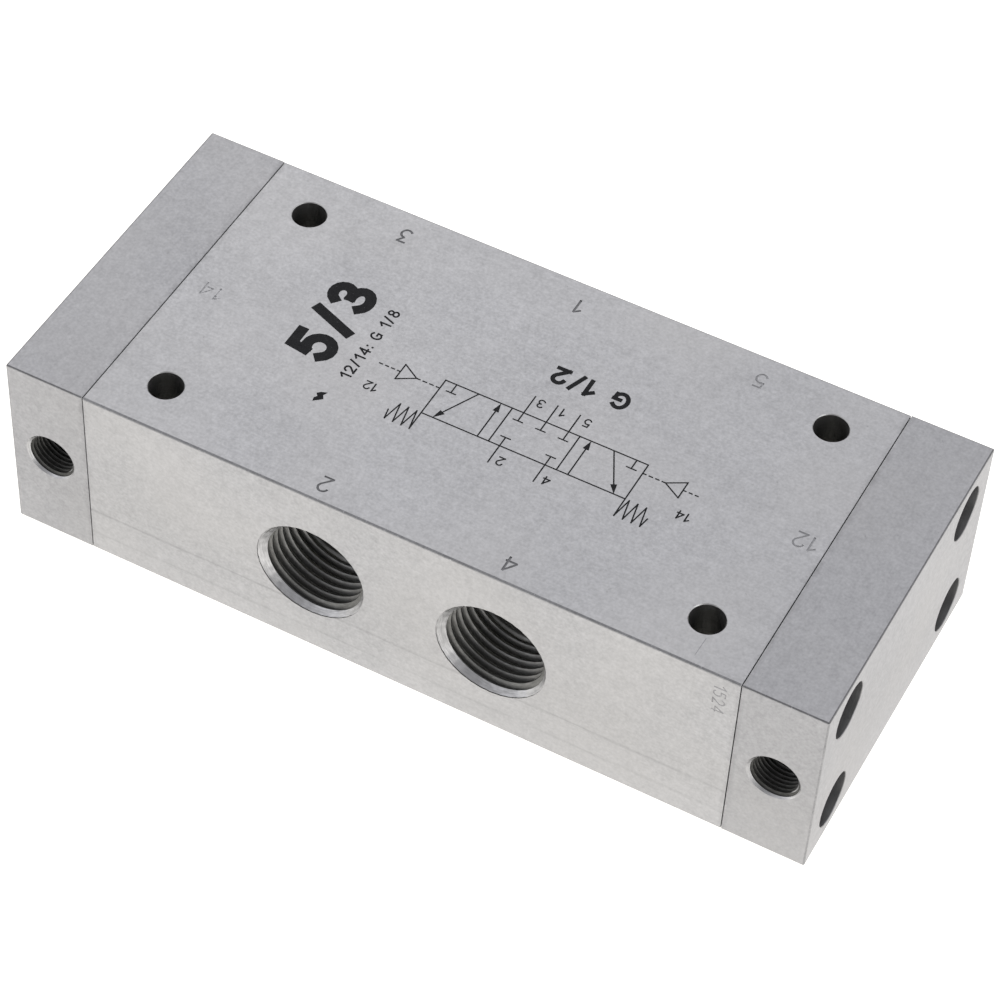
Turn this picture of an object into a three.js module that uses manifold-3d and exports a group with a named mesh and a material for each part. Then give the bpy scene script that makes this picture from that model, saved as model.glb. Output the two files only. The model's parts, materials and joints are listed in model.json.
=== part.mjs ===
// Air-piloted, spring-centred 5/3 directional control valve (G 1/2 ports, G 1/8 pilot ports).
//
// Millimetres. +X runs along the valve from the pilot cap marked 14 to the pilot cap marked 12,
// -Y is the front face with ports 2 and 4, +Y the back face with ports 3, 1 and 5, and +Z is up.
// The origin is the centre of the footprint on the mounting face.

import * as THREE from 'three';
import { mergeVertices } from 'three/addons/utils/BufferGeometryUtils.js';
import Module from 'manifold-3d';

const wasm = await Module();
wasm.setup();

// ---------------------------------------------------------------- driving dimensions

const VALVE_LENGTH = 160;
const VALVE_WIDTH = 70;
const VALVE_HEIGHT = 40;
const CAP_LENGTH = 16;
const SEAM_GAP = 0.15;
const EDGE_CHAMFER = 0.4;

// ISO 228 G 1/2 working ports and G 1/8 pilot ports
const PORT_PITCH = 18;
const PORT_BORE_R = 18.631 / 2;
const PORT_MOUTH_R = 21.6 / 2;
const PORT_DEPTH = 15;
const PASSAGE_R = 6;
const PASSAGE_OVERRUN = 3;
const PILOT_BORE_R = 8.566 / 2;
const PILOT_MOUTH_R = 10.2 / 2;
const PILOT_DEPTH = 9;
const PILOT_DRILL_R = 2.25;

// four through holes that fasten the valve down
const MOUNTING_HOLE_R = 3.25;
const MOUNTING_SPACING_X = 106;
const MOUNTING_SPACING_Y = 50;

// M6 socket head screws that hold the caps on
const SCREW_SPACING_Y = 50;
const SCREW_SPACING_Z = 25;
const SCREW_R = 3;
const SCREW_LENGTH = 12;
const SCREW_HEAD_R = 5;
const SCREW_HEAD_HEIGHT = 6;
const SCREW_SOCKET_ACROSS_FLATS = 5;
const SCREW_SOCKET_DEPTH = 3;
const COUNTERBORE_R = 5.25;
const COUNTERBORE_DEPTH = 10;
const CLEARANCE_HOLE_R = 3.3;
const TAPPED_HOLE_R = 3.08;
const TAPPED_DEPTH = 6.8;

// spool and the seal pack that it slides in
const SPOOL_R = 9;
const SPOOL_STEM_R = 5.25;
const SPOOL_HALF_LENGTH = 53.2;
const SPOOL_STROKE = 6;
const SEAL_WIDTH = 2.8;
const SEAL_SEAT_WIDTH = 3;
const SEAL_PITCH = PORT_PITCH;
const LAND_EDGE_INNER = 7.2;
const LAND_EDGE_MIDDLE = 28.8;
const LAND_EDGE_OUTER = 37.2;
const PACK_BORE_R = 12.5;
const RUNNING_GAP = 0.06;
const FITTED_GAP = 0.1;

// pilot piston, its bore and the centring spring
const PISTON_BORE_R = 13.5;
const PISTON_BORE_START = 48.5;
const PISTON_CROWN_R = 8.8;
const PISTON_CROWN_FLOOR = 2.5;
const PISTON_BRIM_START = 58;
const PISTON_BRIM_END = 64;
const PISTON_GROOVE_R = 10.6;
const PISTON_GROOVE_START = 59.5;
const PISTON_GROOVE_WIDTH = 3.2;
const SPRING_POCKET_R = 6.9;
const SPRING_POCKET_END = 75;
const SPRING_R = 5.7;
const SPRING_WIRE_R = 0.65;
const SPRING_TURNS = 8;
const SPRING_END_PITCH = 1.7;

// retaining ring and face seal
const RING_THICKNESS = 1.2;
const RING_GROOVE_R = 14.2;
const RING_START = PISTON_BORE_START + 2.1;
const FACE_SEAL_R = 16.2;
const FACE_SEAL_WIRE_R = 1;
const FACE_GROOVE_DEPTH = 1.6;
const FACE_GROOVE_HALF_WIDTH = 1.3;

// facets round each kind of piece
const ROUND_FACETS = 20;
const PORT_FACETS = 24;
const HOLE_FACETS = 12;

// ---------------------------------------------------------------- derived dimensions

const HALF_LENGTH = VALVE_LENGTH / 2;
const HALF_WIDTH = VALVE_WIDTH / 2;
const AXIS_HEIGHT = VALVE_HEIGHT / 2;
const BODY_HALF = HALF_LENGTH - CAP_LENGTH;
const CAP_CENTRE = HALF_LENGTH - CAP_LENGTH / 2;
const CAP_RECESS_END = PISTON_BRIM_END + SPOOL_STROKE + 0.2;
const CUT_MARGIN = 1;

// x of each working port, by its number
const FRONT_PORTS = { 2: -PORT_PITCH, 4: PORT_PITCH };
const BACK_PORTS = { 3: -2 * PORT_PITCH, 1: 0, 5: 2 * PORT_PITCH };
const ENDS = [{ number: 14, side: -1 }, { number: 12, side: 1 }];

// ---------------------------------------------------------------- materials

function metal(color, roughness) {
  return new THREE.MeshStandardMaterial({ color, roughness, metalness: 0.9 });
}

function polymer(color, roughness) {
  return new THREE.MeshStandardMaterial({ color, roughness, metalness: 0 });
}

const ALUMINIUM = metal(0xc4c5c6, 0.5);
const SPOOL_ALUMINIUM = metal(0xd4d6d8, 0.25);
const BLACK_STEEL = metal(0x2a2a2c, 0.5);
const SPRING_STEEL = metal(0xa9abb0, 0.3);
const RING_STEEL = metal(0x55565a, 0.4);
const BRASS = metal(0xc9a34e, 0.35);
const RUBBER = polymer(0x151515, 0.6);
const SPACER_POLYMER = polymer(0xd8d2c0, 0.55);

// ---------------------------------------------------------------- solids and cuts

// six times the volume enclosed by an indexed triangle list; negative if it is inside out
function signedVolume(position, index) {
  const a = new THREE.Vector3();
  const b = new THREE.Vector3();
  const c = new THREE.Vector3();
  let total = 0;
  for (let i = 0; i < index.length; i += 3) {
    a.fromBufferAttribute(position, index[i]);
    b.fromBufferAttribute(position, index[i + 1]);
    c.fromBufferAttribute(position, index[i + 2]);
    total += a.dot(b.cross(c));
  }
  return total;
}

// a closed geometry as a manifold solid with its faces pointing out
function solid(geometry) {
  const bare = geometry.clone();
  bare.deleteAttribute('normal');
  bare.deleteAttribute('uv');
  const merged = mergeVertices(bare, 1e-4);
  const index = Array.from(merged.index.array);
  const faces = [];
  for (let i = 0; i < index.length; i += 3) {
    const [a, b, c] = index.slice(i, i + 3);
    if (a !== b && b !== c && c !== a) {
      faces.push(a, b, c);
    }
  }
  if (signedVolume(merged.attributes.position, faces) < 0) {
    faces.reverse();
  }
  return new wasm.Manifold(new wasm.Mesh({
    numProp: 3,
    vertProperties: Float32Array.from(merged.attributes.position.array),
    triVerts: Uint32Array.from(faces),
  }));
}

function union(solids) {
  return solids.reduce((whole, next) => whole.add(next));
}

// a manifold solid as a geometry that a mesh can hold
function geometryOf(shape) {
  const result = shape.getMesh();
  const geometry = new THREE.BufferGeometry();
  geometry.setAttribute('position', new THREE.BufferAttribute(result.vertProperties, 3));
  geometry.setIndex(new THREE.BufferAttribute(result.triVerts, 1));
  geometry.computeVertexNormals();
  return geometry;
}

// a cone or cylinder along an axis, from one coordinate to another
function bar(axis, from, to, radiusFrom, radiusTo, facets, centre = { x: 0, y: 0, z: 0 }) {
  const geometry = new THREE.CylinderGeometry(radiusTo, radiusFrom, to - from, facets);
  geometry.translate(0, (from + to) / 2, 0);
  if (axis === 'x') {
    geometry.rotateZ(-Math.PI / 2);
  }
  if (axis === 'z') {
    geometry.rotateX(Math.PI / 2);
  }
  geometry.translate(centre.x, centre.y, centre.z);
  return solid(geometry);
}

// a round bar along X centred on the valve's axis line; side mirrors it to the other end
function axial(side, from, to, radius, facets = ROUND_FACETS) {
  const low = Math.min(side * from, side * to);
  const high = Math.max(side * from, side * to);
  return bar('x', low, high, radius, radius, facets, { x: 0, y: 0, z: AXIS_HEIGHT });
}

// a ring or shaft turned about X, from a profile of [x, radius] points
function turned(profile, facets = ROUND_FACETS) {
  const points = profile.map(([x, radius]) => new THREE.Vector2(radius, x));
  const geometry = new THREE.LatheGeometry(points, facets);
  geometry.rotateZ(-Math.PI / 2);
  return solid(geometry);
}

// a rectangular block with every edge broken by a small chamfer
function chamferedBlock(xFrom, xTo) {
  const c = EDGE_CHAMFER;
  const outline = new THREE.Shape();
  outline.moveTo(-HALF_WIDTH + c, 0);
  outline.lineTo(HALF_WIDTH - c, 0);
  outline.lineTo(HALF_WIDTH, c);
  outline.lineTo(HALF_WIDTH, VALVE_HEIGHT - c);
  outline.lineTo(HALF_WIDTH - c, VALVE_HEIGHT);
  outline.lineTo(-HALF_WIDTH + c, VALVE_HEIGHT);
  outline.lineTo(-HALF_WIDTH, VALVE_HEIGHT - c);
  outline.lineTo(-HALF_WIDTH, c);
  outline.closePath();
  const geometry = new THREE.ExtrudeGeometry(outline, {
    depth: xTo - xFrom - 2 * c,
    bevelEnabled: true,
    bevelThickness: c,
    bevelSize: c,
    bevelOffset: -c,
    bevelSegments: 1,
  });
  // the outline's x becomes the valve's Y, its y becomes Z, and the extrusion runs along X
  geometry.applyMatrix4(new THREE.Matrix4().set(
    0, 0, 1, xFrom + c,
    1, 0, 0, 0,
    0, 1, 0, 0,
    0, 0, 0, 1,
  ));
  return solid(geometry);
}

// ---------------------------------------------------------------- valve body

// threaded port with a countersunk mouth and a passage to the seal pack; side is -1 at the front
function workingPort(x, side) {
  const centre = { x, y: 0, z: AXIS_HEIGHT };
  const along = (from, to, radiusFrom, radiusTo, facets) => (side > 0
    ? bar('y', from, to, radiusFrom, radiusTo, facets, centre)
    : bar('y', -to, -from, radiusTo, radiusFrom, facets, centre));
  const mouth = HALF_WIDTH - (PORT_MOUTH_R - PORT_BORE_R);
  const outside = HALF_WIDTH + CUT_MARGIN;
  const threadEnd = HALF_WIDTH - PORT_DEPTH;
  return union([
    along(threadEnd, outside, PORT_BORE_R, PORT_BORE_R, PORT_FACETS),
    along(mouth, outside, PORT_BORE_R, PORT_MOUTH_R + CUT_MARGIN, PORT_FACETS),
    along(PACK_BORE_R - PASSAGE_OVERRUN, threadEnd + CUT_MARGIN, PASSAGE_R, PASSAGE_R, HOLE_FACETS),
  ]);
}

function mountingHoles() {
  const holes = [];
  for (const x of [-MOUNTING_SPACING_X / 2, MOUNTING_SPACING_X / 2]) {
    for (const y of [-MOUNTING_SPACING_Y / 2, MOUNTING_SPACING_Y / 2]) {
      holes.push(bar('z', -CUT_MARGIN, VALVE_HEIGHT + CUT_MARGIN, MOUNTING_HOLE_R, MOUNTING_HOLE_R,
        HOLE_FACETS, { x, y, z: 0 }));
    }
  }
  return union(holes);
}

// the four places of an end cap's screws, in the YZ plane
function screwPlaces() {
  const places = [];
  for (const y of [-SCREW_SPACING_Y / 2, SCREW_SPACING_Y / 2]) {
    for (const z of [AXIS_HEIGHT - SCREW_SPACING_Z / 2, AXIS_HEIGHT + SCREW_SPACING_Z / 2]) {
      places.push({ y, z });
    }
  }
  return places;
}

// round holes along X at the four screw places of one end
function screwHoles(side, from, to, radius, facets) {
  const low = Math.min(side * from, side * to);
  const high = Math.max(side * from, side * to);
  return union(screwPlaces().map(({ y, z }) => bar('x', low, high, radius, radius, facets, { x: 0, y, z })));
}

function valveBody() {
  const cuts = [
    axial(1, -PISTON_BORE_START - CUT_MARGIN, PISTON_BORE_START + CUT_MARGIN, PACK_BORE_R),
    mountingHoles(),
  ];
  for (const x of Object.values(FRONT_PORTS)) {
    cuts.push(workingPort(x, -1));
  }
  for (const x of Object.values(BACK_PORTS)) {
    cuts.push(workingPort(x, 1));
  }
  for (const { side } of ENDS) {
    cuts.push(axial(side, PISTON_BORE_START, BODY_HALF + CUT_MARGIN, PISTON_BORE_R));
    cuts.push(axial(side, RING_START, RING_START + RING_THICKNESS + 0.1, RING_GROOVE_R));
    cuts.push(screwHoles(side, BODY_HALF - TAPPED_DEPTH, BODY_HALF + CUT_MARGIN, TAPPED_HOLE_R, HOLE_FACETS));
  }
  return chamferedBlock(-BODY_HALF, BODY_HALF).subtract(union(cuts));
}

// ---------------------------------------------------------------- end caps and their screws

function endCap(side) {
  const inner = BODY_HALF + SEAM_GAP;
  const block = side > 0 ? chamferedBlock(inner, HALF_LENGTH) : chamferedBlock(-HALF_LENGTH, -inner);
  const pilot = { x: side * CAP_CENTRE, y: 0, z: AXIS_HEIGHT };
  const mouthDepth = PILOT_MOUTH_R - PILOT_BORE_R;
  const face = -HALF_WIDTH;
  const groove = axial(side, inner - CUT_MARGIN, inner + FACE_GROOVE_DEPTH, FACE_SEAL_R + FACE_GROOVE_HALF_WIDTH)
    .subtract(axial(side, inner - 2 * CUT_MARGIN, inner + 2 * FACE_GROOVE_DEPTH,
      FACE_SEAL_R - FACE_GROOVE_HALF_WIDTH));
  return block.subtract(union([
    groove,
    axial(side, inner - CUT_MARGIN, CAP_RECESS_END, PISTON_BORE_R),
    axial(side, CAP_RECESS_END - CUT_MARGIN, SPRING_POCKET_END, SPRING_POCKET_R),
    bar('y', face - CUT_MARGIN, face + PILOT_DEPTH, PILOT_BORE_R, PILOT_BORE_R, PORT_FACETS, pilot),
    bar('y', face - CUT_MARGIN, face + mouthDepth, PILOT_MOUTH_R + CUT_MARGIN, PILOT_BORE_R, PORT_FACETS, pilot),
    bar('y', face + PILOT_DEPTH - CUT_MARGIN, -SPRING_POCKET_R / 2, PILOT_DRILL_R, PILOT_DRILL_R, HOLE_FACETS, pilot),
    screwHoles(side, inner - CUT_MARGIN, HALF_LENGTH, CLEARANCE_HOLE_R, HOLE_FACETS),
    screwHoles(side, HALF_LENGTH - COUNTERBORE_DEPTH, HALF_LENGTH + CUT_MARGIN, COUNTERBORE_R, ROUND_FACETS),
  ]));
}

// M6 socket head screw along X: the head's underside is at x = 0 and the shank points to -X
function capScrew() {
  const tip = 0.8;
  const edge = 0.5;
  const profile = [
    [-SCREW_LENGTH, 0],
    [-SCREW_LENGTH, SCREW_R - tip],
    [-SCREW_LENGTH + tip, SCREW_R],
    [0, SCREW_R],
    [0, SCREW_HEAD_R],
    [SCREW_HEAD_HEIGHT - edge, SCREW_HEAD_R],
    [SCREW_HEAD_HEIGHT, SCREW_HEAD_R - edge],
    [SCREW_HEAD_HEIGHT, 0],
  ];
  const socketR = SCREW_SOCKET_ACROSS_FLATS / 2 / Math.cos(Math.PI / 6);
  const socket = bar('x', SCREW_HEAD_HEIGHT - SCREW_SOCKET_DEPTH, SCREW_HEAD_HEIGHT + CUT_MARGIN,
    socketR, socketR, 6);
  return turned(profile, HOLE_FACETS).subtract(socket);
}

// ---------------------------------------------------------------- spool and seal pack

function spool() {
  const edge = 0.4;
  const centreHoleR = 2.1;
  const centreHoleDepth = 8;
  const end = SPOOL_HALF_LENGTH;
  const half = [
    [LAND_EDGE_INNER - edge, SPOOL_STEM_R],
    [LAND_EDGE_INNER, SPOOL_R],
    [LAND_EDGE_MIDDLE, SPOOL_R],
    [LAND_EDGE_MIDDLE + edge, SPOOL_STEM_R],
    [LAND_EDGE_OUTER - edge, SPOOL_STEM_R],
    [LAND_EDGE_OUTER, SPOOL_R],
    [end - 2 * edge, SPOOL_R],
    [end, SPOOL_R - edge],
    [end, centreHoleR],
    [end - centreHoleDepth, centreHoleR],
    [end - centreHoleDepth - centreHoleR / 2, 0],
  ];
  const mirrored = half.map(([x, radius]) => [-x, radius]).reverse();
  return turned([...mirrored, ...half]);
}

// moulded ring that seals on the spool inside and in the bore outside, centred on x = 0
function spoolSeal() {
  const half = SEAL_WIDTH / 2;
  const inner = SPOOL_R + RUNNING_GAP;
  const outer = PACK_BORE_R - FITTED_GAP;
  const crown = 0.7;
  return turned([
    [-half, inner + crown],
    [0, inner],
    [half, inner + crown],
    [half, outer - crown / 2],
    [0, outer],
    [-half, outer - crown / 2],
    [-half, inner + crown],
  ]);
}

// cage that keeps two seals apart and lets the air in from a port, centred on x = 0
function spacer() {
  const half = (SEAL_PITCH - SEAL_SEAT_WIDTH) / 2;
  const flange = 1;
  const inner = SPOOL_R + 0.4;
  const waist = PACK_BORE_R - 1.3;
  const outer = PACK_BORE_R - FITTED_GAP;
  const ring = turned([
    [-half, inner],
    [half, inner],
    [half, outer],
    [half - flange, outer],
    [half - flange, waist],
    [-half + flange, waist],
    [-half + flange, outer],
    [-half, outer],
    [-half, inner],
  ]);
  const windowLength = 2 * (half - flange - 1);
  const windowWidth = 7;
  const windows = [0, 1, 2].map((n) => {
    const box = new THREE.BoxGeometry(windowLength, windowWidth, 4 * PACK_BORE_R);
    box.rotateX((n * Math.PI) / 3);
    return solid(box);
  });
  return ring.subtract(union(windows));
}

// flanged bush at the pack's end, on side +1; it guides the spool and backs the last seal
function guideBush() {
  const start = 2.5 * SEAL_PITCH + SEAL_SEAT_WIDTH / 2;
  const inner = SPOOL_R + 0.1;
  return turned([
    [start, inner],
    [RING_START - FITTED_GAP, inner],
    [RING_START - FITTED_GAP, PISTON_BORE_R - FITTED_GAP],
    [PISTON_BORE_START + FITTED_GAP, PISTON_BORE_R - FITTED_GAP],
    [PISTON_BORE_START + FITTED_GAP, PACK_BORE_R - FITTED_GAP],
    [start, PACK_BORE_R - FITTED_GAP],
    [start, inner],
  ]);
}

// internal retaining ring, open at the bottom, with a plier hole in each lug
function retainingRing() {
  const outer = RING_GROOVE_R * Math.cos(Math.PI / ROUND_FACETS) - FITTED_GAP;
  const inner = 11.6;
  const lugInner = 10.3;
  const holeR = 0.9;
  const gap = THREE.MathUtils.degToRad(18);
  const lug = THREE.MathUtils.degToRad(17);
  const bottom = -Math.PI / 2;
  const outline = new THREE.Shape();
  outline.absarc(0, 0, outer, bottom + gap, bottom - gap + 2 * Math.PI, false);
  outline.absarc(0, 0, lugInner, bottom - gap, bottom - gap - lug, true);
  outline.absarc(0, 0, inner, bottom - gap - lug, bottom + gap + lug - 2 * Math.PI, true);
  outline.absarc(0, 0, lugInner, bottom + gap + lug, bottom + gap, true);
  outline.closePath();
  for (const turn of [gap + lug / 2, -gap - lug / 2]) {
    const radius = (lugInner + outer) / 2 - 0.3;
    const hole = new THREE.Path();
    hole.absarc(radius * Math.cos(bottom + turn), radius * Math.sin(bottom + turn), holeR, 0, 2 * Math.PI, true);
    outline.holes.push(hole);
  }
  const geometry = new THREE.ExtrudeGeometry(outline, {
    depth: RING_THICKNESS - 0.1,
    bevelEnabled: false,
    curveSegments: 6,
  });
  geometry.applyMatrix4(new THREE.Matrix4().set(
    0, 0, 1, RING_START + FITTED_GAP,
    1, 0, 0, 0,
    0, 1, 0, 0,
    0, 0, 0, 1,
  ));
  return solid(geometry);
}

// ---------------------------------------------------------------- pilot pistons and springs

// top-hat piston on side +1: the crown pushes the spool and the brim runs in the piston bore
function pilotPiston() {
  const crown = SPOOL_HALF_LENGTH + 0.05;
  const brimR = PISTON_BORE_R - FITTED_GAP;
  const grooveEnd = PISTON_GROOVE_START + PISTON_GROOVE_WIDTH;
  return turned([
    [crown, 0],
    [crown, PISTON_CROWN_R - 0.5],
    [crown + 0.5, PISTON_CROWN_R],
    [PISTON_BRIM_START, PISTON_CROWN_R],
    [PISTON_BRIM_START, brimR],
    [PISTON_GROOVE_START, brimR],
    [PISTON_GROOVE_START, PISTON_GROOVE_R],
    [grooveEnd, PISTON_GROOVE_R],
    [grooveEnd, brimR],
    [PISTON_BRIM_END, brimR],
    [PISTON_BRIM_END, SPRING_POCKET_R],
    [crown + PISTON_CROWN_FLOOR, SPRING_POCKET_R],
    [crown + PISTON_CROWN_FLOOR, 0],
  ]);
}

function pistonSeal() {
  const from = PISTON_GROOVE_START + FITTED_GAP;
  const to = PISTON_GROOVE_START + PISTON_GROOVE_WIDTH - FITTED_GAP;
  const inner = PISTON_GROOVE_R + FITTED_GAP;
  const outer = PISTON_BORE_R - RUNNING_GAP;
  const crown = 0.7;
  return turned([
    [from, inner],
    [to, inner],
    [to, outer - crown],
    [(from + to) / 2, outer],
    [from, outer - crown],
    [from, inner],
  ]);
}

// compression spring on side +1, between the piston's floor and the cap's pocket, with close end turns
class SpringLine extends THREE.Curve {
  constructor(from, to) {
    super();
    this.from = from;
    this.to = to;
  }

  getPoint(t, target = new THREE.Vector3()) {
    const turn = t * SPRING_TURNS;
    const activeTurns = SPRING_TURNS - 2;
    const activePitch = (this.to - this.from - 2 * SPRING_END_PITCH) / activeTurns;
    const active = Math.min(Math.max(turn - 1, 0), activeTurns);
    const along = active * activePitch + (turn - active) * SPRING_END_PITCH;
    const angle = 2 * Math.PI * turn;
    return target.set(this.from + along, SPRING_R * Math.cos(angle), SPRING_R * Math.sin(angle));
  }
}

function centringSpring() {
  const clearance = 0.15 + SPRING_WIRE_R;
  const from = SPOOL_HALF_LENGTH + 0.05 + PISTON_CROWN_FLOOR + clearance;
  const to = SPRING_POCKET_END - clearance;
  const stepsPerTurn = 8;
  const section = new THREE.Shape();
  const sides = 5;
  for (let n = 0; n < sides; n += 1) {
    const angle = (2 * Math.PI * n) / sides;
    const y = SPRING_WIRE_R * Math.cos(angle);
    const z = SPRING_WIRE_R * Math.sin(angle);
    if (n === 0) {
      section.moveTo(y, z);
    } else {
      section.lineTo(y, z);
    }
  }
  section.closePath();
  return solid(new THREE.ExtrudeGeometry(section, {
    steps: SPRING_TURNS * stepsPerTurn,
    extrudePath: new SpringLine(from, to),
  }));
}

// O-ring in the cap's inner face, on side +1
function faceSeal() {
  const centre = BODY_HALF + SEAM_GAP + FACE_GROOVE_DEPTH - FACE_SEAL_WIRE_R * 0.85;
  const sides = 6;
  const profile = [];
  for (let n = 0; n <= sides; n += 1) {
    const angle = (2 * Math.PI * (n % sides)) / sides;
    profile.push([
      centre + FACE_SEAL_WIRE_R * 0.7 * Math.cos(angle),
      FACE_SEAL_R + FACE_SEAL_WIRE_R * Math.sin(angle),
    ]);
  }
  return turned(profile);
}

// ---------------------------------------------------------------- assembly

const valve = new THREE.Group();

function addPart(name, shape, material) {
  const mesh = new THREE.Mesh(geometryOf(shape), material);
  mesh.name = name;
  valve.add(mesh);
  return mesh;
}

// a turned piece on the axis line, moved along it; side -1 turns it to face the other end
function addTurned(name, shape, material, x = 0, side = 1) {
  const mesh = addPart(name, shape, material);
  mesh.position.set(x, 0, AXIS_HEIGHT);
  if (side < 0) {
    mesh.rotation.z = Math.PI;
  }
  return mesh;
}

addPart('valve_body', valveBody(), ALUMINIUM);
addTurned('spool', spool(), SPOOL_ALUMINIUM);

const spacerByPort = [...Object.entries(FRONT_PORTS), ...Object.entries(BACK_PORTS)];
for (const [port, x] of spacerByPort) {
  addTurned(`port_${port}_spacer`, spacer(), SPACER_POLYMER, x);
}

const SEAL_COUNT = 6;
for (let n = 0; n < SEAL_COUNT; n += 1) {
  addTurned(`spool_seal_${n + 1}`, spoolSeal(), RUBBER, (n - (SEAL_COUNT - 1) / 2) * SEAL_PITCH);
}

for (const { number, side } of ENDS) {
  addPart(`end_cap_${number}`, endCap(side), ALUMINIUM);
  addTurned(`guide_bush_${number}`, guideBush(), BRASS, 0, side);
  addTurned(`retaining_ring_${number}`, retainingRing(), RING_STEEL, 0, side);
  addTurned(`pilot_piston_${number}`, pilotPiston(), SPOOL_ALUMINIUM, 0, side);
  addTurned(`piston_seal_${number}`, pistonSeal(), RUBBER, 0, side);
  addTurned(`centring_spring_${number}`, centringSpring(), SPRING_STEEL, 0, side);
  addTurned(`cap_face_seal_${number}`, faceSeal(), RUBBER, 0, side);
  screwPlaces().forEach(({ y, z }, n) => {
    const screw = addPart(`cap_screw_${number}_${n + 1}`, capScrew(), BLACK_STEEL);
    screw.position.set(side * (HALF_LENGTH - COUNTERBORE_DEPTH + 0.05), y, z);
    if (side < 0) {
      screw.rotation.z = Math.PI;
    }
  });
}

export default valve;
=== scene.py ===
"""Looks of an air-piloted, spring-centred 5/3 directional control valve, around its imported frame.

Shapes are worked out in millimetres, in the frame's own axes, and scaled to metres at the end.
"""

import json
import math
import random

import bmesh
import bpy
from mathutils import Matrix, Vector


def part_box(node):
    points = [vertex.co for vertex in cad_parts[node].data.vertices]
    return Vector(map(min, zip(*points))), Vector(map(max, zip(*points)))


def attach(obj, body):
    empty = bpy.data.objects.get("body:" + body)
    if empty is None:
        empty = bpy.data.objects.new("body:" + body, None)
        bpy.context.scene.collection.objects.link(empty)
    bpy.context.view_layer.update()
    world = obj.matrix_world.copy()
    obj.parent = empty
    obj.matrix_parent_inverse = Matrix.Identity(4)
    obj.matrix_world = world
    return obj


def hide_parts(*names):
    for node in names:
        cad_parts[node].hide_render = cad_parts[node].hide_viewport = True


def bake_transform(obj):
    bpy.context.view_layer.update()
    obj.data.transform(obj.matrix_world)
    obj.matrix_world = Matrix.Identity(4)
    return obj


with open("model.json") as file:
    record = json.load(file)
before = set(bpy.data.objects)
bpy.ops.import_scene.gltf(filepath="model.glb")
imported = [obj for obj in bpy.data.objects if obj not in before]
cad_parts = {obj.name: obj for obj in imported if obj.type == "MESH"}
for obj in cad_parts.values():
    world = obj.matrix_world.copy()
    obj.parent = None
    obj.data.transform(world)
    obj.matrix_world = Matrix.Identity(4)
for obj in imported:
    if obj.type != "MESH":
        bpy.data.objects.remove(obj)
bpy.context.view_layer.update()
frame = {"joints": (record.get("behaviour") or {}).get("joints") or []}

# ---------------- sizes, in millimetres

MM = 0.001


def box_mm(node):
    """Lowest and highest corner of a CAD node in millimetres, without single-precision tails."""
    return [Vector([round(value / MM, 3) for value in corner]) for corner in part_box(node)]


def middle_mm(node):
    """Centre of a CAD node's box in millimetres."""
    low, high = box_mm(node)
    return (low + high) / 2


BODY_HIGH = box_mm("valve_body")[1]
CAP_LOW, CAP_HIGH = box_mm("end_cap_12")
BODY_HALF = BODY_HIGH.x
HALF_WIDTH = BODY_HIGH.y
TOP = BODY_HIGH.z
AXIS_Z = TOP / 2
CAP_INNER = CAP_LOW.x
HALF_LENGTH = CAP_HIGH.x
CAP_CENTRE = (BODY_HALF + HALF_LENGTH) / 2
BODY_ROUNDING = 0.4
CAP_ROUNDING = 0.3
SEAM_ROUNDING = 0.12
EDGE_STEPS = 3
CUT_MARGIN = 1.0
OVERLAP = 0.2
SLIVER = 0.001
THREAD_MARGIN = 3.0

FRONT_PORTS = (2, 4)
BACK_PORTS = (3, 1, 5)
PORT_X = {port: middle_mm(f"port_{port}_spacer").x for port in FRONT_PORTS + BACK_PORTS}
SEAL_X = [middle_mm(f"spool_seal_{n}").x for n in range(1, 7)]
ENDS = ((14, -1), (12, 1))

# ISO 228 G 1/2 and G 1/8, and M6
G_HALF = {"minor": 9.3155, "major": 10.4775, "pitch": 1.814}
G_EIGHTH = {"minor": 4.283, "major": 4.864, "pitch": 0.907}
M6_HOLE = {"minor": 2.55, "major": 3.08, "pitch": 1.0}
M6_SCREW = {"minor": 2.45, "major": 3.0, "pitch": 1.0}
CREST_FLAT = 0.014

PORT_MOUTH_R = 10.8
PORT_RIM_DEPTH = 0.22
PORT_DEPTH = 15.0
PORT_THREAD_DEPTH = 13.6
PORT_THREAD_FADE = 2.4
PORT_SEGMENTS = 96
CHATTER_DEPTH = 0.03
CHATTER_WAVES = 34
CHATTER_SLANT = 3.0
THREAD_SHIFT = 0.65
PASSAGE_R = 6.0
PASSAGE_END = 9.5
PILOT_MOUTH_R = 5.1
PILOT_DEPTH = 9.0
PILOT_THREAD_DEPTH = 8.2
PILOT_THREAD_FADE = 1.4
PILOT_DRILL_R = 2.25
MOUNTING_HOLE_R = 3.25
MOUNTING_X = 53.0
MOUNTING_Y = 25.0

SCREW_Y = 25.0
SCREW_Z = 12.5
COUNTERBORE_R = 5.25
COUNTERBORE_DEPTH = 10.0
CLEARANCE_R = 3.3
TAPPED_DEPTH = 6.8
SCREW_SEAT_GAP = 0.05
SCREW_HEAD_R = 5.0
SCREW_HEAD_HEIGHT = 6.0
SCREW_LENGTH = 12.0
SOCKET_ACROSS_FLATS = 5.0
SOCKET_DEPTH = 3.0

PACK_BORE_R = 12.5
PISTON_BORE_R = 13.5
PISTON_BORE_START = 48.5
RING_START = 50.6
RING_GROOVE_WIDTH = 1.3
RING_GROOVE_R = 14.2
RECESS_END = 70.2
POCKET_R = 6.9
POCKET_END = 75.0
FACE_SEAL_R = 16.2
FACE_GROOVE_HALF = 1.3
FACE_GROOVE_DEPTH = 1.6

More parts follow.
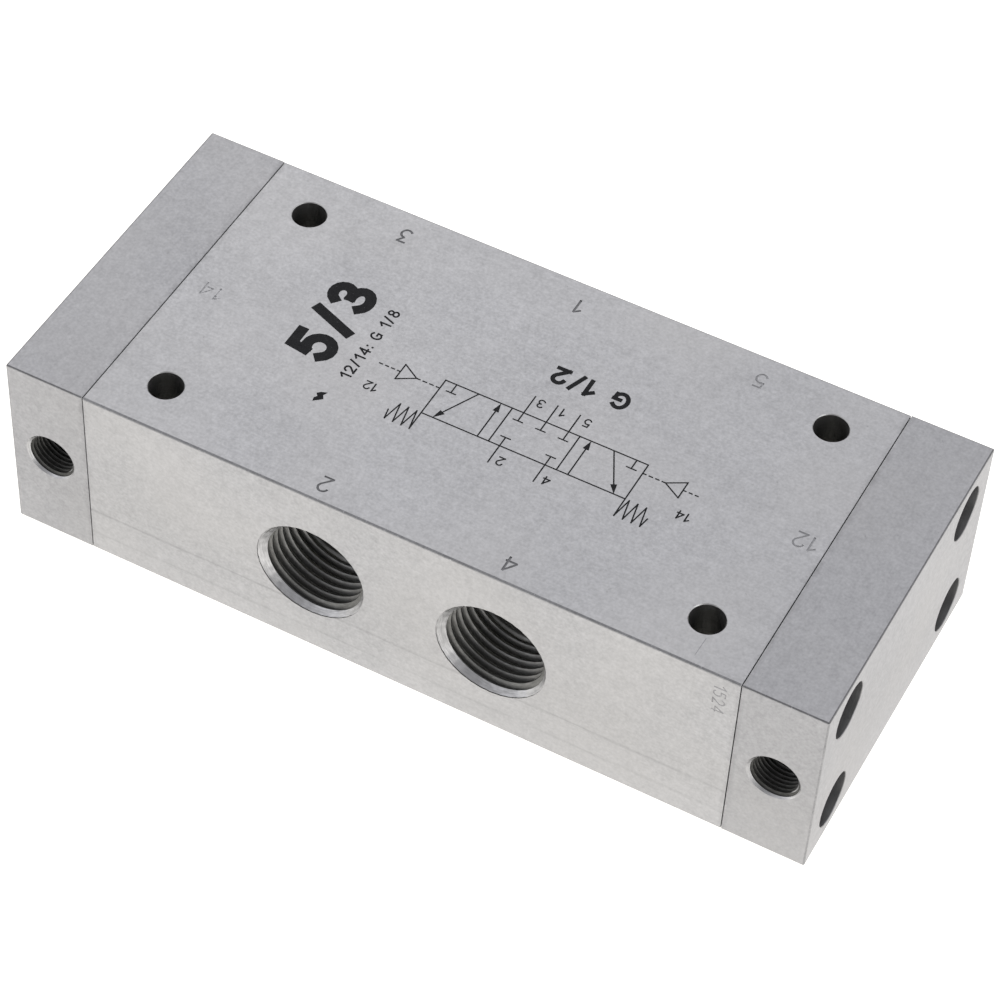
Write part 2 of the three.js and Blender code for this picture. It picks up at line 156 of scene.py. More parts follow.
PISTON_FLOOR = 2.5
SPOOL_R = 9.0
STEM_R = 5.25
SPOOL_HALF = box_mm("spool")[1].x
TRAVEL = max(frame["joints"][0]["range_m"]) / MM
SPRING_R = 5.7
SPRING_WIRE_R = 0.65
SPRING_TURNS = 8
SPRING_GAP = 0.15
SPRING_GROUND = 0.3

# how many sides round bodies and tubes have, and how many rows a thread has in a pitch
FINE, MEDIUM, SMALL = 128, 64, 40
TUBE_SIDES = 16
FINE_ROWS, COARSE_ROWS = 12, 8

# ---------------- materials


def scaled(colour, gain, extra=0.0):
    """The colour times a gain, plus a little, and not past white."""
    return tuple(min(1.0, value * gain + extra) for value in colour)


class Nodes:
    """Makes shader nodes in one tree."""

    def __init__(self, tree):
        self.tree = tree

    def new(self, kind):
        return self.tree.nodes.new("ShaderNode" + kind)

    def link(self, value, socket):
        """Links another socket to a socket, or sets it to a number, a vector or a colour."""
        if isinstance(value, bpy.types.NodeSocket):
            self.tree.links.new(value, socket)
        else:
            socket.default_value = value

    def wired(self, node, output, inputs):
        """One output of a node, after its inputs are linked or set."""
        for key, value in inputs.items():
            self.link(value, node.inputs[key])
        return node.outputs[output]

    def math(self, operation, *values):
        node = self.new("Math")
        node.operation = operation
        return self.wired(node, 0, dict(enumerate(values)))

    def span(self, value, low, high, to_low=0.0, to_high=1.0, curve="LINEAR"):
        """value taken from low..high to to_low..to_high, and held at the ends."""
        node = self.new("MapRange")
        node.interpolation_type = curve
        inputs = {"Value": value, "From Min": low, "From Max": high, "To Min": to_low, "To Max": to_high}
        return self.wired(node, "Result", inputs)


class Surface(Nodes):
    """A procedural material on object coordinates, which are in metres."""

    def __init__(self, name, metallic):
        self.material = bpy.data.materials.new(name)
        self.material.use_nodes = True
        super().__init__(self.material.node_tree)
        self.shader = self.tree.nodes["Principled BSDF"]
        self.shader.inputs["Metallic"].default_value = metallic
        self.place = self.new("TexCoord").outputs["Object"]

    def noise(self, size, detail=3.0):
        """Noise whose features are about size millimetres long, or (x, y, z) millimetres."""
        lengths = size if isinstance(size, tuple) else (size, size, size)
        scale = [1 / (length * MM) for length in lengths]
        point = self.wired(self.new("Mapping"), "Vector", {"Vector": self.place, "Scale": scale})
        inputs = {"Vector": point, "Scale": 1.0, "Detail": detail, "Roughness": 0.6}
        return self.wired(self.new("TexNoise"), "Fac", inputs)

    def mix(self, factor, first, second):
        """A colour between two others, each a socket or a colour."""
        node = self.new("Mix")
        node.data_type = "RGBA"
        ends = [(*end, 1.0) if isinstance(end, tuple) else end for end in (first, second)]
        return self.wired(node, "Result", {"Factor": factor, "A": ends[0], "B": ends[1]})

    def toned(self, layers, dark, light, low=0.25, high=0.75):
        """A tone of weighted noises (size, weight) about 0.5, and the colour that follows it."""
        tone = 0.5 - sum(weight for _, weight in layers) / 2
        for size, weight in layers:
            tone = self.math("MULTIPLY_ADD", self.noise(size), weight, tone)
        return tone, self.mix(self.span(tone, low, high), dark, light)

    def spotted(self, colour, size, low, high, share, other):
        """The colour with spots of another one, where noise lies above low."""
        return self.mix(self.span(self.noise(size, 4.0), low, high, 0.0, share), colour, other)

    def band(self, axis, centre, half_width, mirrored=False):
        """1 on a plane across an axis, fading to 0 at half_width millimetres from it."""
        value = self.wired(self.new("SeparateXYZ"), "XYZ".index(axis), {0: self.place})
        if mirrored:
            value = self.math("ABSOLUTE", value)
        distance = self.math("ABSOLUTE", self.math("SUBTRACT", value, centre * MM))
        return self.span(distance, 0.0, half_width * MM, 1.0, 0.0)

    def bump(self, height, depth, under=None):
        """Small relief, depth millimetres from its lowest to its highest."""
        inputs = {"Distance": depth * MM, "Height": height}
        if under is not None:
            inputs["Normal"] = under
        return self.wired(self.new("Bump"), "Normal", inputs)

    def finish(self, colour, roughness, normal=None):
        inputs = {"Base Color": colour, "Roughness": roughness}
        if normal is not None:
            inputs["Normal"] = normal
        self.wired(self.shader, 0, inputs)
        return self.material


SEAM_DIRT_WIDTH = 1.1
RUB_WIDTH = 0.55
# painted light: the faces are made lighter towards the bottom; height in mm, share and gain of it
PAINTED_LIGHT_HEIGHT, PAINTED_LIGHT_SHARE, PAINTED_LIGHT_GAIN = 13.0, 0.2, 1.35


def blasted_aluminium(name, dark, light, streak_size, dirty_seam, rubbed=()):
    """Matte face: fine blast grain over broad mottling, faint saw streaks and dirt along the seams.

    It has painted light that makes it a little lighter down to its foot. rubbed gives the height
    and the strength of thin level rub marks, broken along their length.
    """
    surface = Surface(name, metallic=1.0)
    layers = ((0.55, 0.85), (1.7, 0.45), ((24, 20, 20), 0.22), (streak_size, 0.22))
    tone, colour = surface.toned(layers, dark, light, 0.2, 0.8)
    warmth = surface.span(surface.noise(30, 1.0), 0.35, 0.65, 0.0, 0.35)
    warm = tuple(value * gain for value, gain in zip(light, (1.0, 0.985, 0.955)))
    colour = surface.mix(warmth, colour, warm)
    colour = surface.spotted(colour, 0.9, 0.68, 0.74, 0.35, scaled(dark, 0.55))
    seam = surface.band("X", (BODY_HALF + CAP_INNER) / 2, SEAM_DIRT_WIDTH, mirrored=True)
    dirt = surface.math("MULTIPLY", seam, surface.span(surface.noise((2, 5, 5)), 0.4, 0.7, 0.0, dirty_seam))
    colour = surface.mix(dirt, colour, scaled(dark, 0.45))
    # painted light: lighter towards the bottom of the face
    foot = surface.math("MULTIPLY", surface.band("Z", 0.0, PAINTED_LIGHT_HEIGHT), PAINTED_LIGHT_SHARE)
    colour = surface.mix(foot, colour, scaled(light, PAINTED_LIGHT_GAIN))
    for height, strength in rubbed:
        line = surface.band("Z", height, RUB_WIDTH)
        along = surface.span(surface.noise((14, 40, 0.6)), 0.3, 0.55, 0.0, strength)
        colour = surface.mix(surface.math("MULTIPLY", line, along), colour, scaled(dark, 0.5))
    normal = surface.bump(surface.noise(0.35, 4.0), 0.008)
    normal = surface.bump(surface.noise(streak_size), 0.004, normal)
    return surface.finish(colour, surface.span(tone, 0.25, 0.75, 0.6, 0.48), normal)


def patterned(name, metallic, layers, colours, spots, relief, roughness, painted_shade=None):
    """A tone of weighted noises, spots of another colour, and roughness that follows the tone.

    relief is (size, depth) of its bumps. The last argument is (axis, place, reach, share): painted
    shade that darkens the metal most at a place on the axis.
    """
    surface = Surface(name, metallic)
    tone, colour = surface.toned(layers, *colours)
    colour = surface.spotted(colour, *spots)
    # painted shade: darker around a place on an axis, mixed towards a near-black colour
    if painted_shade:
        axis, place, reach, share = painted_shade
        painted_shade_share = surface.math("MULTIPLY", surface.band(axis, place, reach, mirrored=True), share)
        colour = surface.mix(painted_shade_share, colour, (0.03, 0.03, 0.026))
    normal = surface.bump(surface.noise(relief[0]), relief[1])
    return surface.finish(colour, surface.span(tone, 0.3, 0.7, *roughness), normal)


def cut_metal(name, dark, light, mark_size, roughness=(0.45, 0.3), relief=0.006, painted_shade=None):
    """Machined face: tool marks of a size that can be fine along one axis, and a few darker patches."""
    return patterned(name, 1.0, ((mark_size, 0.7), (1.4, 0.4), (6, 0.4)), (dark, light),
                     (3, 0.62, 0.72, 0.4, scaled(dark, 0.6)), (mark_size, relief), roughness, painted_shade)


def worn_and_shaded_edge(name, dark, light):
    """Deburred edge: darker than the faces as painted shade, with bright nicks of wear."""
    return patterned(name, 1.0, ((0.5, 0.6), (4, 0.5)), (dark, light),
                     (0.8, 0.66, 0.72, 0.6, scaled(light, 2.2)), (0.3, 0.006), (0.5, 0.36))


def moulded(name, dark, light, roughness, grain, relief):
    """Rubber or plastic: mould grain, slow tone changes and a little dust or rubbing."""
    return patterned(name, 0.0, ((grain, 0.5), (3, 0.5)), (dark, light),
                     (1.6, 0.6, 0.72, 0.3, scaled(light, 1.5, 0.01)), (grain, relief), roughness)


def printed_ink():
    """Thin matte print with pinholes that let the metal's grey through."""
    ink = patterned("marking_ink", 0.0, ((0.3, 0.6), (2, 0.4)),
                    ((0.005, 0.005, 0.006), (0.014, 0.014, 0.015), 0.3, 0.7),
                    (0.35, 0.66, 0.74, 0.55, (0.13, 0.13, 0.135)), (0.2, 0.003), (0.62, 0.5))
    ink.node_tree.nodes["Principled BSDF"].inputs["Specular IOR Level"].default_value = 0.12
    return ink


BODY_FACE = blasted_aluminium("housing_aluminium", (0.39, 0.39, 0.392), (0.51, 0.51, 0.513),
                              (45, 0.35, 0.35), 0.35, rubbed=((10.6, 0.3), (4.8, 0.2)))
CAP_FACE = blasted_aluminium("cap_aluminium", (0.345, 0.345, 0.35), (0.445, 0.445, 0.45),
                             (0.35, 45, 0.5), 0.5)
# painted shade on the rounded edges: darker than the faces, and a little less dark on the upright corners
BODY_EDGE = worn_and_shaded_edge("edge_aluminium", (0.19, 0.19, 0.192), (0.3, 0.3, 0.302))
CORNER = worn_and_shaded_edge("corner_aluminium", (0.24, 0.24, 0.242), (0.36, 0.36, 0.362))
CAP_EDGE = worn_and_shaded_edge("cap_edge_aluminium", (0.13, 0.13, 0.132), (0.22, 0.22, 0.222))
# painted shade in the port threads: darkest at the port's face, fading over 8 mm inwards
PORT_PAINTED_SHADE = ("Y", HALF_WIDTH, 8.0, 0.62)
THREAD = cut_metal("thread_aluminium", (0.22, 0.22, 0.21), (0.39, 0.39, 0.374), (1.2, 0.16, 1.2),
                   (0.5, 0.38), painted_shade=PORT_PAINTED_SHADE)
# painted shade: a darker copy of the thread metal, for the shade inside the small pilot ports
PILOT_THREAD = cut_metal("pilot_thread_aluminium", (0.1, 0.1, 0.095), (0.24, 0.24, 0.23), (0.8, 0.16, 0.8),
                         (0.62, 0.5), painted_shade=PORT_PAINTED_SHADE)
TAPPED = cut_metal("tapped_aluminium", (0.2, 0.2, 0.196), (0.36, 0.36, 0.35), (0.16, 0.8, 0.8))
MOUTH = cut_metal("mouth_aluminium", (0.3, 0.3, 0.3), (0.6, 0.6, 0.6), (2.5, 0.2, 2.5), relief=0.04)
BORE_X = cut_metal("bore_aluminium", (0.38, 0.38, 0.38), (0.58, 0.58, 0.585), (0.12, 4, 4),
                   (0.3, 0.18), 0.003)
BORE_Y = cut_metal("passage_aluminium", (0.2, 0.2, 0.2), (0.36, 0.36, 0.36), (4, 0.2, 4))
BORE_Z = cut_metal("hole_aluminium", (0.38, 0.38, 0.37), (0.52, 0.52, 0.51), (4, 4, 0.22))
# painted shade in pressed grooves: darker than the face, darkest in the deeper stamped strokes
STAMP = cut_metal("stamp_aluminium", (0.09, 0.09, 0.092), (0.2, 0.2, 0.204), 0.3)
FAINT_STAMP_SHADE = cut_metal("faint_stamp_aluminium", (0.2, 0.2, 0.204), (0.33, 0.33, 0.335), 0.3)
COUNTERBORE = cut_metal("counterbore_aluminium", (0.2, 0.2, 0.2), (0.34, 0.34, 0.34), (0.2, 4, 4),
                        (0.52, 0.4))
INK = printed_ink()
SPOOL_METAL = cut_metal("spool_aluminium", (0.5, 0.51, 0.52), (0.72, 0.73, 0.74), (0.1, 5, 5),
                        (0.26, 0.14), 0.002)
PISTON_METAL = cut_metal("piston_aluminium", (0.42, 0.42, 0.43), (0.66, 0.66, 0.67), (0.14, 5, 5),
                         (0.36, 0.22), 0.004)
SCREW_STEEL = cut_metal("black_oxide_steel", (0.018, 0.018, 0.02), (0.05, 0.05, 0.053), 0.6, (0.5, 0.34))
RING_STEEL = cut_metal("ring_steel", (0.07, 0.07, 0.073), (0.15, 0.15, 0.155), 0.8)
SPRING_STEEL = cut_metal("spring_steel", (0.4, 0.4, 0.41), (0.54, 0.54, 0.555), 0.5, (0.36, 0.2), 0.003)
BRASS = cut_metal("bush_brass", (0.52, 0.35, 0.13), (0.76, 0.56, 0.26), (0.12, 4, 4),
                  (0.36, 0.22), 0.004)
RUBBER = moulded("seal_rubber", (0.008, 0.008, 0.008), (0.022, 0.022, 0.022), (0.62, 0.45), 0.4, 0.008)
POLYMER = moulded("spacer_polymer", (0.55, 0.52, 0.44), (0.7, 0.67, 0.58), (0.5, 0.38), 0.7, 0.012)

# ---------------- mesh code

AXES = {
    "x": (Vector((1, 0, 0)), Vector((0, 1, 0)), Vector((0, 0, 1))),
    "y": (Vector((0, 1, 0)), Vector((0, 0, 1)), Vector((1, 0, 0))),
    "z": (Vector((0, 0, 1)), Vector((1, 0, 0)), Vector((0, 1, 0))),
}
AXIS_LINE = (0, 0, AXIS_Z)


def around(first, second, angle):
    """The direction at an angle from the first of two directions towards the second."""
    return first * math.cos(angle) + second * math.sin(angle)


def add_object(name, data):
    """A new object in the scene."""
    made = bpy.data.objects.new(name, data)
    bpy.context.scene.collection.objects.link(made)
    return made


def signed_volume(points, faces):
    """Six times the volume inside, negative where the faces point in."""
    total = 0.0
    for face in faces:
        first = points[face[0]]
        for second, third in zip(face[1:], face[2:]):
            total += first.dot(points[second].cross(points[third]))
    return total


def new_mesh(points, faces, material):
    """A closed mesh object in millimetres, with its faces pointing out."""
    if signed_volume(points, faces) < 0:
        faces = [face[::-1] for face in faces]
    mesh = bpy.data.meshes.new("shape")
    mesh.from_pydata(points, [], faces)
    mesh.materials.append(material)
    return add_object("shape", mesh)


def block(low, high, face, edge, rounding):
    """A block with its edges rounded in a few narrow facets, less so at a seam.

    The facets that look up take the edge material, and those of upright corners the corner one; both are
    painted shade, darker than the face.
    """
    bm = bmesh.new()
    bmesh.ops.create_cube(bm, size=1)
    weight = bm.edges.layers.float.new("bevel_weight_edge")
    for vertex in bm.verts:
        vertex.co = Vector([high[k] if vertex.co[k] > 0 else low[k] for k in range(3)])
    for rim in bm.edges:
        first, second = (vertex.co.x for vertex in rim.verts)
        at_seam = abs(first - second) < 0.01 and abs(first) < CAP_INNER + 0.01
        rim[weight] = SEAM_ROUNDING / rounding if at_seam else 1.0
    mesh = bpy.data.meshes.new("shape")
    bm.to_mesh(mesh)
    bm.free()
    for material in (face, edge, CORNER):
        mesh.materials.append(material)
    made = add_object("shape", mesh)
    bevel = made.modifiers.new("edges", "BEVEL")
    bevel.limit_method = "WEIGHT"
    bevel.width = rounding
    bevel.segments = EDGE_STEPS
    bevel.material = 1
    settle(made)
    for polygon in made.data.polygons:
        if polygon.material_index == 0:
            continue
        normal = polygon.normal
        beside_seam = BODY_HALF - SEAM_ROUNDING < abs(polygon.center.x) < CAP_INNER + SEAM_ROUNDING
        if beside_seam or normal.z < -0.3:
            polygon.material_index = 0
        elif normal.z < 0.3:
            polygon.material_index = 2
    return made


def ease(value):
    """Smooth step from 0 to 1."""
    value = min(1.0, max(0.0, value))
    return value * value * (3 - 2 * value)


def filleted(profile, radius, steps=3):
    """The profile with its corners off the axis rounded, as far as their sides are long enough."""
    closed = profile[0] == profile[-1]
    corners = [Vector(point) for point in (profile[:-1] if closed else profile)]
    count = len(corners)
    rounded = []
    for n, corner in enumerate(corners):
        at_end = not closed and n in (0, count - 1)
        if at_end or corner.y < 1e-6:
            rounded.append(corner)
            continue
        back = corners[n - 1] - corner
        ahead = corners[(n + 1) % count] - corner
        turn = back.angle(ahead)
        reach = min(radius / math.tan(turn / 2), back.length * 0.45, ahead.length * 0.45)
        start = corner + back.normalized() * reach
        stop = corner + ahead.normalized() * reach
        for step in range(steps + 1):
            share = step / steps
            rounded.append((1 - share) ** 2 * start + 2 * share * (1 - share) * corner + share ** 2 * stop)
    if closed:
        rounded.append(rounded[0])
    return [(point.x, point.y) for point in rounded]


def turned(profile, material, axis="x", centre=AXIS_LINE, segments=FINE, ripple=None):
    """A body of revolution from (along, radius) points, closed on the axis or on itself.

    ripple(along, angle) adds to the radius.
    """
    along, first, second = AXES[axis]
    centre = Vector(centre)
    closed = profile[0] == profile[-1]
    rows = profile[:-1] if closed else profile
    points, starts = [], []
    for distance, radius in rows:
        starts.append(len(points))
        for n in range(segments if radius > 0 else 1):
            angle = 2 * math.pi * n / segments
            reach = radius + (ripple(distance, angle) if ripple and radius > 0 else 0)
            points.append(centre + along * distance + around(first, second, angle) * reach)
    faces = []
    pairs = list(zip(range(len(rows)), range(1, len(rows))))
    if closed:
        pairs.append((len(rows) - 1, 0))
    for low, high in pairs:
        low_pole, high_pole = rows[low][1] <= 0, rows[high][1] <= 0
        for n in range(segments):
            after = (n + 1) % segments
            ring = [starts[low] + (0 if low_pole else n), starts[low] + (0 if low_pole else after),
                    starts[high] + (0 if high_pole else after), starts[high] + (0 if high_pole else n)]
            face = list(dict.fromkeys(ring))
            if len(face) > 2:
                faces.append(face)
    return new_mesh(points, faces, material)


def thread_height(share):
    """Whitworth form: 0 at the crest of a hole's thread, 1 at its root, share pitches along."""
    half_angle = math.radians(27.5)
    rounding, depth = 0.137329, 0.640327
    offset = abs(share - round(share))
    tangent = rounding * math.cos(half_angle)
    if offset < tangent:
        height = rounding - math.sqrt(rounding ** 2 - offset ** 2)
    elif offset > 0.5 - tangent:
        height = depth - rounding + math.sqrt(rounding ** 2 - (0.5 - offset) ** 2)
    else:
        height = rounding * (1 - math.sin(half_angle)) + (offset - tangent) / math.tan(half_angle)
    return height / depth


def threaded(thread, start, stop, material, axis, centre, segments, samples, fades, shift=0.0):
    """A right-hand threaded bar from start to stop along its axis.

    The rows follow the helix, so crest and root stay sharp. fades are (place, length): the thread
    has no height at place and full height at length from it, on either side. shift moves the
    whole helix along.
    """
    along, first, second = AXES[axis]
    centre = Vector(centre)
    pitch = thread["pitch"]
    begin = math.floor((start - shift) / pitch) * pitch + shift
    strips = math.ceil((stop - begin) / pitch) * samples
    points, index = [], {}

    def add(row, column):
        distance = begin + pitch * (row / samples + column / segments)
        height = thread_height(row / samples)
        for place, length in fades:
            height *= ease(abs(distance - place) / length)
        angle = 2 * math.pi * column / segments
        radius = thread["minor"] + (thread["major"] - thread["minor"]) * height
        index[row, column] = len(points)
        points.append(centre + along * distance + around(first, second, angle) * radius)

    for row in range(strips + 1):
        for column in range(segments):
            add(row, column)
    for row in range(strips + 1, strips + samples + 1):
        add(row, 0)

    def at(row, column):
        return index[row, column] if column < segments else index[row + samples, 0]

    faces = []
    for row in range(strips):
        for column in range(segments):
            faces.append([at(row, column), at(row, column + 1),
                          at(row + 1, column + 1), at(row + 1, column)])
    for row, outward in ((0, -1), (strips, 1)):
        rim = [at(row, column) for column in range(segments)]
        rim += [index[row + step, 0] for step in range(samples, 0, -1)]
        hub = len(points)
        points.append(centre + along * (begin + pitch * (row / samples + 0.5)))
        for n, corner in enumerate(rim):
            after = rim[(n + 1) % len(rim)]
            faces.append([hub, after, corner] if outward < 0 else [hub, corner, after])
    return new_mesh(points, faces, material)


def lofted(rows, material):
    """A closed body through rows of equally many points, with flat ends."""
    count = len(rows[0])
    points = [point for row in rows for point in row]
    last = len(points) - count
    faces = [list(range(count))[::-1], list(range(last, last + count))]
    for low in range(0, last, count):
        for n in range(count):
            after = (n + 1) % count
            faces.append([low + n, low + after, low + count + after, low + count + n])
    return new_mesh(points, faces, material)


def tube(path, frames, radius, material):
    """A closed round tube along a path; frames give two cross directions at each point."""
    angles = [2 * math.pi * n / TUBE_SIDES for n in range(TUBE_SIDES)]
    rows = [[centre + around(*frame_here, angle) * radius for angle in angles]
            for centre, frame_here in zip(path, frames)]
    return lofted(rows, material)


def mitres(path):
    """The sideways direction at each point of a flat path, longer where the path turns."""
    sideways = []
    for n, point in enumerate(path):
        before = (point - path[n - 1]).normalized() if n else None
        after = (path[n + 1] - point).normalized() if n + 1 < len(path) else None
        heading = ((before or after) + (after or before)).normalized()
        across = Vector((-heading.y, heading.x, 0))
        lean = heading.dot(after or before)
        sideways.append(across / max(lean, 0.5))
    return sideways


def ribbon(path, width, low, high, material):
    """A flat stroke of a given width between two heights, with square ends at the path's ends."""
    corners = ((1, low), (-1, low), (-1, high), (1, high))
    rows = [[Vector((point.x, point.y, height)) + across * side * width / 2 for side, height in corners]
            for point, across in zip(path, mitres(path))]
    return lofted(rows, material)


def prism(outline, low, high, material):
    """A flat outline of (x, y) points between two heights."""
    rows = [[Vector((x, y, height)) for x, y in outline] for height in (low, high)]
    return lofted(rows, material)


def settle(piece):
    """Applies the modifiers of a piece to its mesh."""
    graph = bpy.context.evaluated_depsgraph_get()
    before = piece.data
    mesh = bpy.data.meshes.new_from_object(piece.evaluated_get(graph))
    piece.modifiers.clear()
    piece.data = mesh
    bpy.data.meshes.remove(before)


def carve(piece, tools, operation="DIFFERENCE"):
    """Cuts the tools out of the piece, or joins them to it; each tool's faces keep its material."""
    for tool in tools:
        modifier = piece.modifiers.new("carve", "BOOLEAN")
        modifier.operation = operation
        modifier.solver = "MANIFOLD"
        modifier.material_mode = "TRANSFER"
        modifier.object = tool
        tool.hide_render = True
    settle(piece)
    for tool in tools:
        mesh = tool.data
        bpy.data.objects.remove(tool)
        bpy.data.meshes.remove(mesh)


def flip_ends(piece):
    """Turns a piece half way round the vertical axis, so that it fits the other end."""
    for vertex in piece.data.vertices:
        vertex.co.x = -vertex.co.x
        vertex.co.y = -vertex.co.y


FLAT_LIMIT, ROUND_LIMIT = math.radians(8), math.radians(38)


def shade(piece, flat=()):
    """Smooth shading, with sharp edges where faces meet at more than a limit.

    The materials in flat take the lower limit, and so do the edges between two materials.
    """
    mesh = piece.data
    names = {material.name for material in flat}
    is_flat = [slot.name in names for slot in mesh.materials]
    bm = bmesh.new()
    bm.from_mesh(mesh)
    for face in bm.faces:
        face.smooth = True
    for edge in bm.edges:
        sides = edge.link_faces
        if len(sides) != 2:
            continue
        first, second = sides[0].material_index, sides[1].material_index
        strict = is_flat[first] or is_flat[second] or first != second
        edge.smooth = edge.calc_face_angle(0.0) < (FLAT_LIMIT if strict else ROUND_LIMIT)
    bm.to_mesh(mesh)
    bm.free()


def to_metres(piece):
    for vertex in piece.data.vertices:
        vertex.co *= MM


def place(piece, node, body, slot, side=1, flat=()):
    """Shades a finished piece and brings it to metres, and lets it stand for its CAD node.

    A piece for the end at -X is turned round first. One without a body is attached to none.
    """
    if side < 0:
        flip_ends(piece)
    shade(piece, flat)
    to_metres(piece)
    piece.data.update()
    piece.name = f"{node}_detail"
    if body:
        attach(piece, body)
    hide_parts(node)


# ---------------- strokes of figures and marks


def arc(x, y, radius_x, radius_y, start, stop, steps=12):
    """Points on an ellipse between two angles in degrees."""
    angles = [math.radians(start + (stop - start) * n / steps) for n in range(steps + 1)]
    return [(x + radius_x * math.cos(a), y + radius_y * math.sin(a)) for a in angles]


# each figure is its width and its strokes, for a height of 1
FIGURES = {
    "1": (0.34, [[(0.0, 0.72), (0.32, 1.0)], [(0.32, 1.0), (0.32, 0.0)]]),
    "2": (0.56, [arc(0.28, 0.71, 0.28, 0.29, 168, -38) + [(0.02, 0.0)], [(0.0, 0.0), (0.56, 0.0)]]),
    "3": (0.54, [arc(0.26, 0.755, 0.25, 0.245, 155, -92), arc(0.26, 0.255, 0.29, 0.255, 92, -155)]),
    "4": (0.62, [[(0.46, 0.0), (0.46, 1.0)], [(0.46, 1.0), (0.0, 0.28)], [(0.0, 0.28), (0.62, 0.28)]]),
    "5": (0.56, [[(0.52, 1.0), (0.1, 1.0), (0.05, 0.6)], arc(0.27, 0.33, 0.29, 0.33, 118, -150)]),
    "8": (0.54, [arc(0.27, 0.76, 0.23, 0.24, 0, 366, 20), arc(0.27, 0.26, 0.28, 0.26, 0, 366, 20)]),
    "G": (0.7, [arc(0.36, 0.5, 0.36, 0.5, 48, 318, 20), [(0.4, 0.46), (0.7, 0.46)],
                [(0.68, 0.46), (0.66, 0.1)]]),
    "/": (0.36, [[(0.0, -0.02), (0.36, 1.02)]]),
    ":": (0.02, [[(0.01, 0.06), (0.01, 0.08)], [(0.01, 0.6), (0.01, 0.62)]]),
    " ": (0.2, []),
}
STAMPED_FIGURES = dict(FIGURES)
STAMPED_FIGURES["3"] = (0.54, [[(0.02, 1.0), (0.52, 1.0)], [(0.52, 1.0), (0.24, 0.62)],
                               arc(0.24, 0.31, 0.3, 0.31, 90, -145)])
STAMPED_FIGURES["4"] = (0.62, [[(0.5, 0.0), (0.5, 1.0)], [(0.5, 1.0), (0.0, 0.3)],
                               [(0.0, 0.3), (0.62, 0.3)]])

FACING_BACK = (Vector((-1, 0, 0)), Vector((0, -1, 0)))
FACING_SIDE = (Vector((0, 1, 0)), Vector((-1, 0, 0)))
SCRIBED_FACING = (Vector((0, -1, 0)), Vector((1, 0, 0)))


def written(text, origin, height, weight, directions, figures, gap=0.2):
    """Centre lines of a line of figures, from its lower left corner.

    weight is the stroke's width; the lines are drawn in by half of it, and are as long as ever.
    """
    right, up = directions
    inset = weight / height
    pen = Vector((*origin, 0))
    strokes = []
    for letter in text:
        width, lines = figures[letter]
        for line in lines:
            path = []
            for x, y in line:
                sideways = inset / 2 + x * (1 - inset * 0.6)
                path.append(pen + right * sideways * height + up * (inset / 2 + y * (1 - inset)) * height)
            strokes.append(path)
        pen = pen + right * (width * (1 - inset * 0.6) + inset + gap) * height
    return strokes


def width_of(text, height, weight, figures, gap=0.2):
    """How long a written line is."""
    inset = weight / height
    shares = sum(figures[letter][0] * (1 - inset * 0.6) + inset + gap for letter in text)
    return shares * height - gap * height


def square_ended(path, extra):
    """The path with both ends drawn out straight."""
    first = (path[0] - path[1]).normalized() * extra
    last = (path[-1] - path[-2]).normalized() * extra
    return [path[0] + first, *path[1:-1], path[-1] + last]


# ---------------- marks on the top face

STAMP_HEIGHT = 3.5
STAMP_WIDTH = 0.2
STAMP_TOOL_R = 0.23
# text, centre x and y, depth of the stroke, and whether the die struck unevenly
STAMPS = (
    ("3", -35.1, 29.0, 0.15, False),
    ("1", 1.1, 29.0, 0.16, False),
    ("5", 37.3, 29.0, 0.10, False),
    ("14", -58.1, -1.1, 0.06, True),
    ("12", 60.2, -1.3, 0.10, False),
    ("2", -17.2, -31.1, 0.13, False),
    ("4", 18.8, -31.1, 0.15, False),
)
STAMP_GAP = 0.25
FAINT_DEPTH = 0.11
UNEVEN_DASH = 0.42
UNEVEN_DEPTHS = (0.1, 1.5)
# a small generic number scribed upright on the front face, near the end with port 12
SCRIBED_TEXT = "1524"
SCRIBED_X, SCRIBED_Z = 59.3, 37.7
SCRIBED_HEIGHT = 2.3
SCRIBED_DEPTH = 0.05
# a shallow nick in the top face and a dent beside the 14: x and y of both ends, and depth
NICKS = (
    (54.6, -28.9, 54.5, -33.0, 0.012),
    (-57.1, -1.9, -56.8, -1.9, 0.1),
)
SURFACE_DROP = 0.02
BODY_TOP = TOP - SURFACE_DROP


def pressing_tool(path, surface_height, depth, material):
    """A round-nosed tool that presses a stroke of a given depth into a level surface."""
    height = surface_height + STAMP_TOOL_R - depth
    lifted = [Vector((point.x, point.y, height)) for point in square_ended(path, 0.06)]
    frames = [(across, Vector((0, 0, 1))) for across in mitres(lifted)]
    return tube(lifted, frames, STAMP_TOOL_R, material)


def dashes(path, length):
    """The path's straight runs cut into dashes of about a length, with gaps half as long."""
    pieces = []
    for start, stop in zip(path, path[1:]):
        run = stop - start
        count = max(1, round(run.length / (1.5 * length)))
        for n in range(count):
            pieces.append([start + run * (n / count), start + run * ((n + 0.66) / count)])
    return pieces


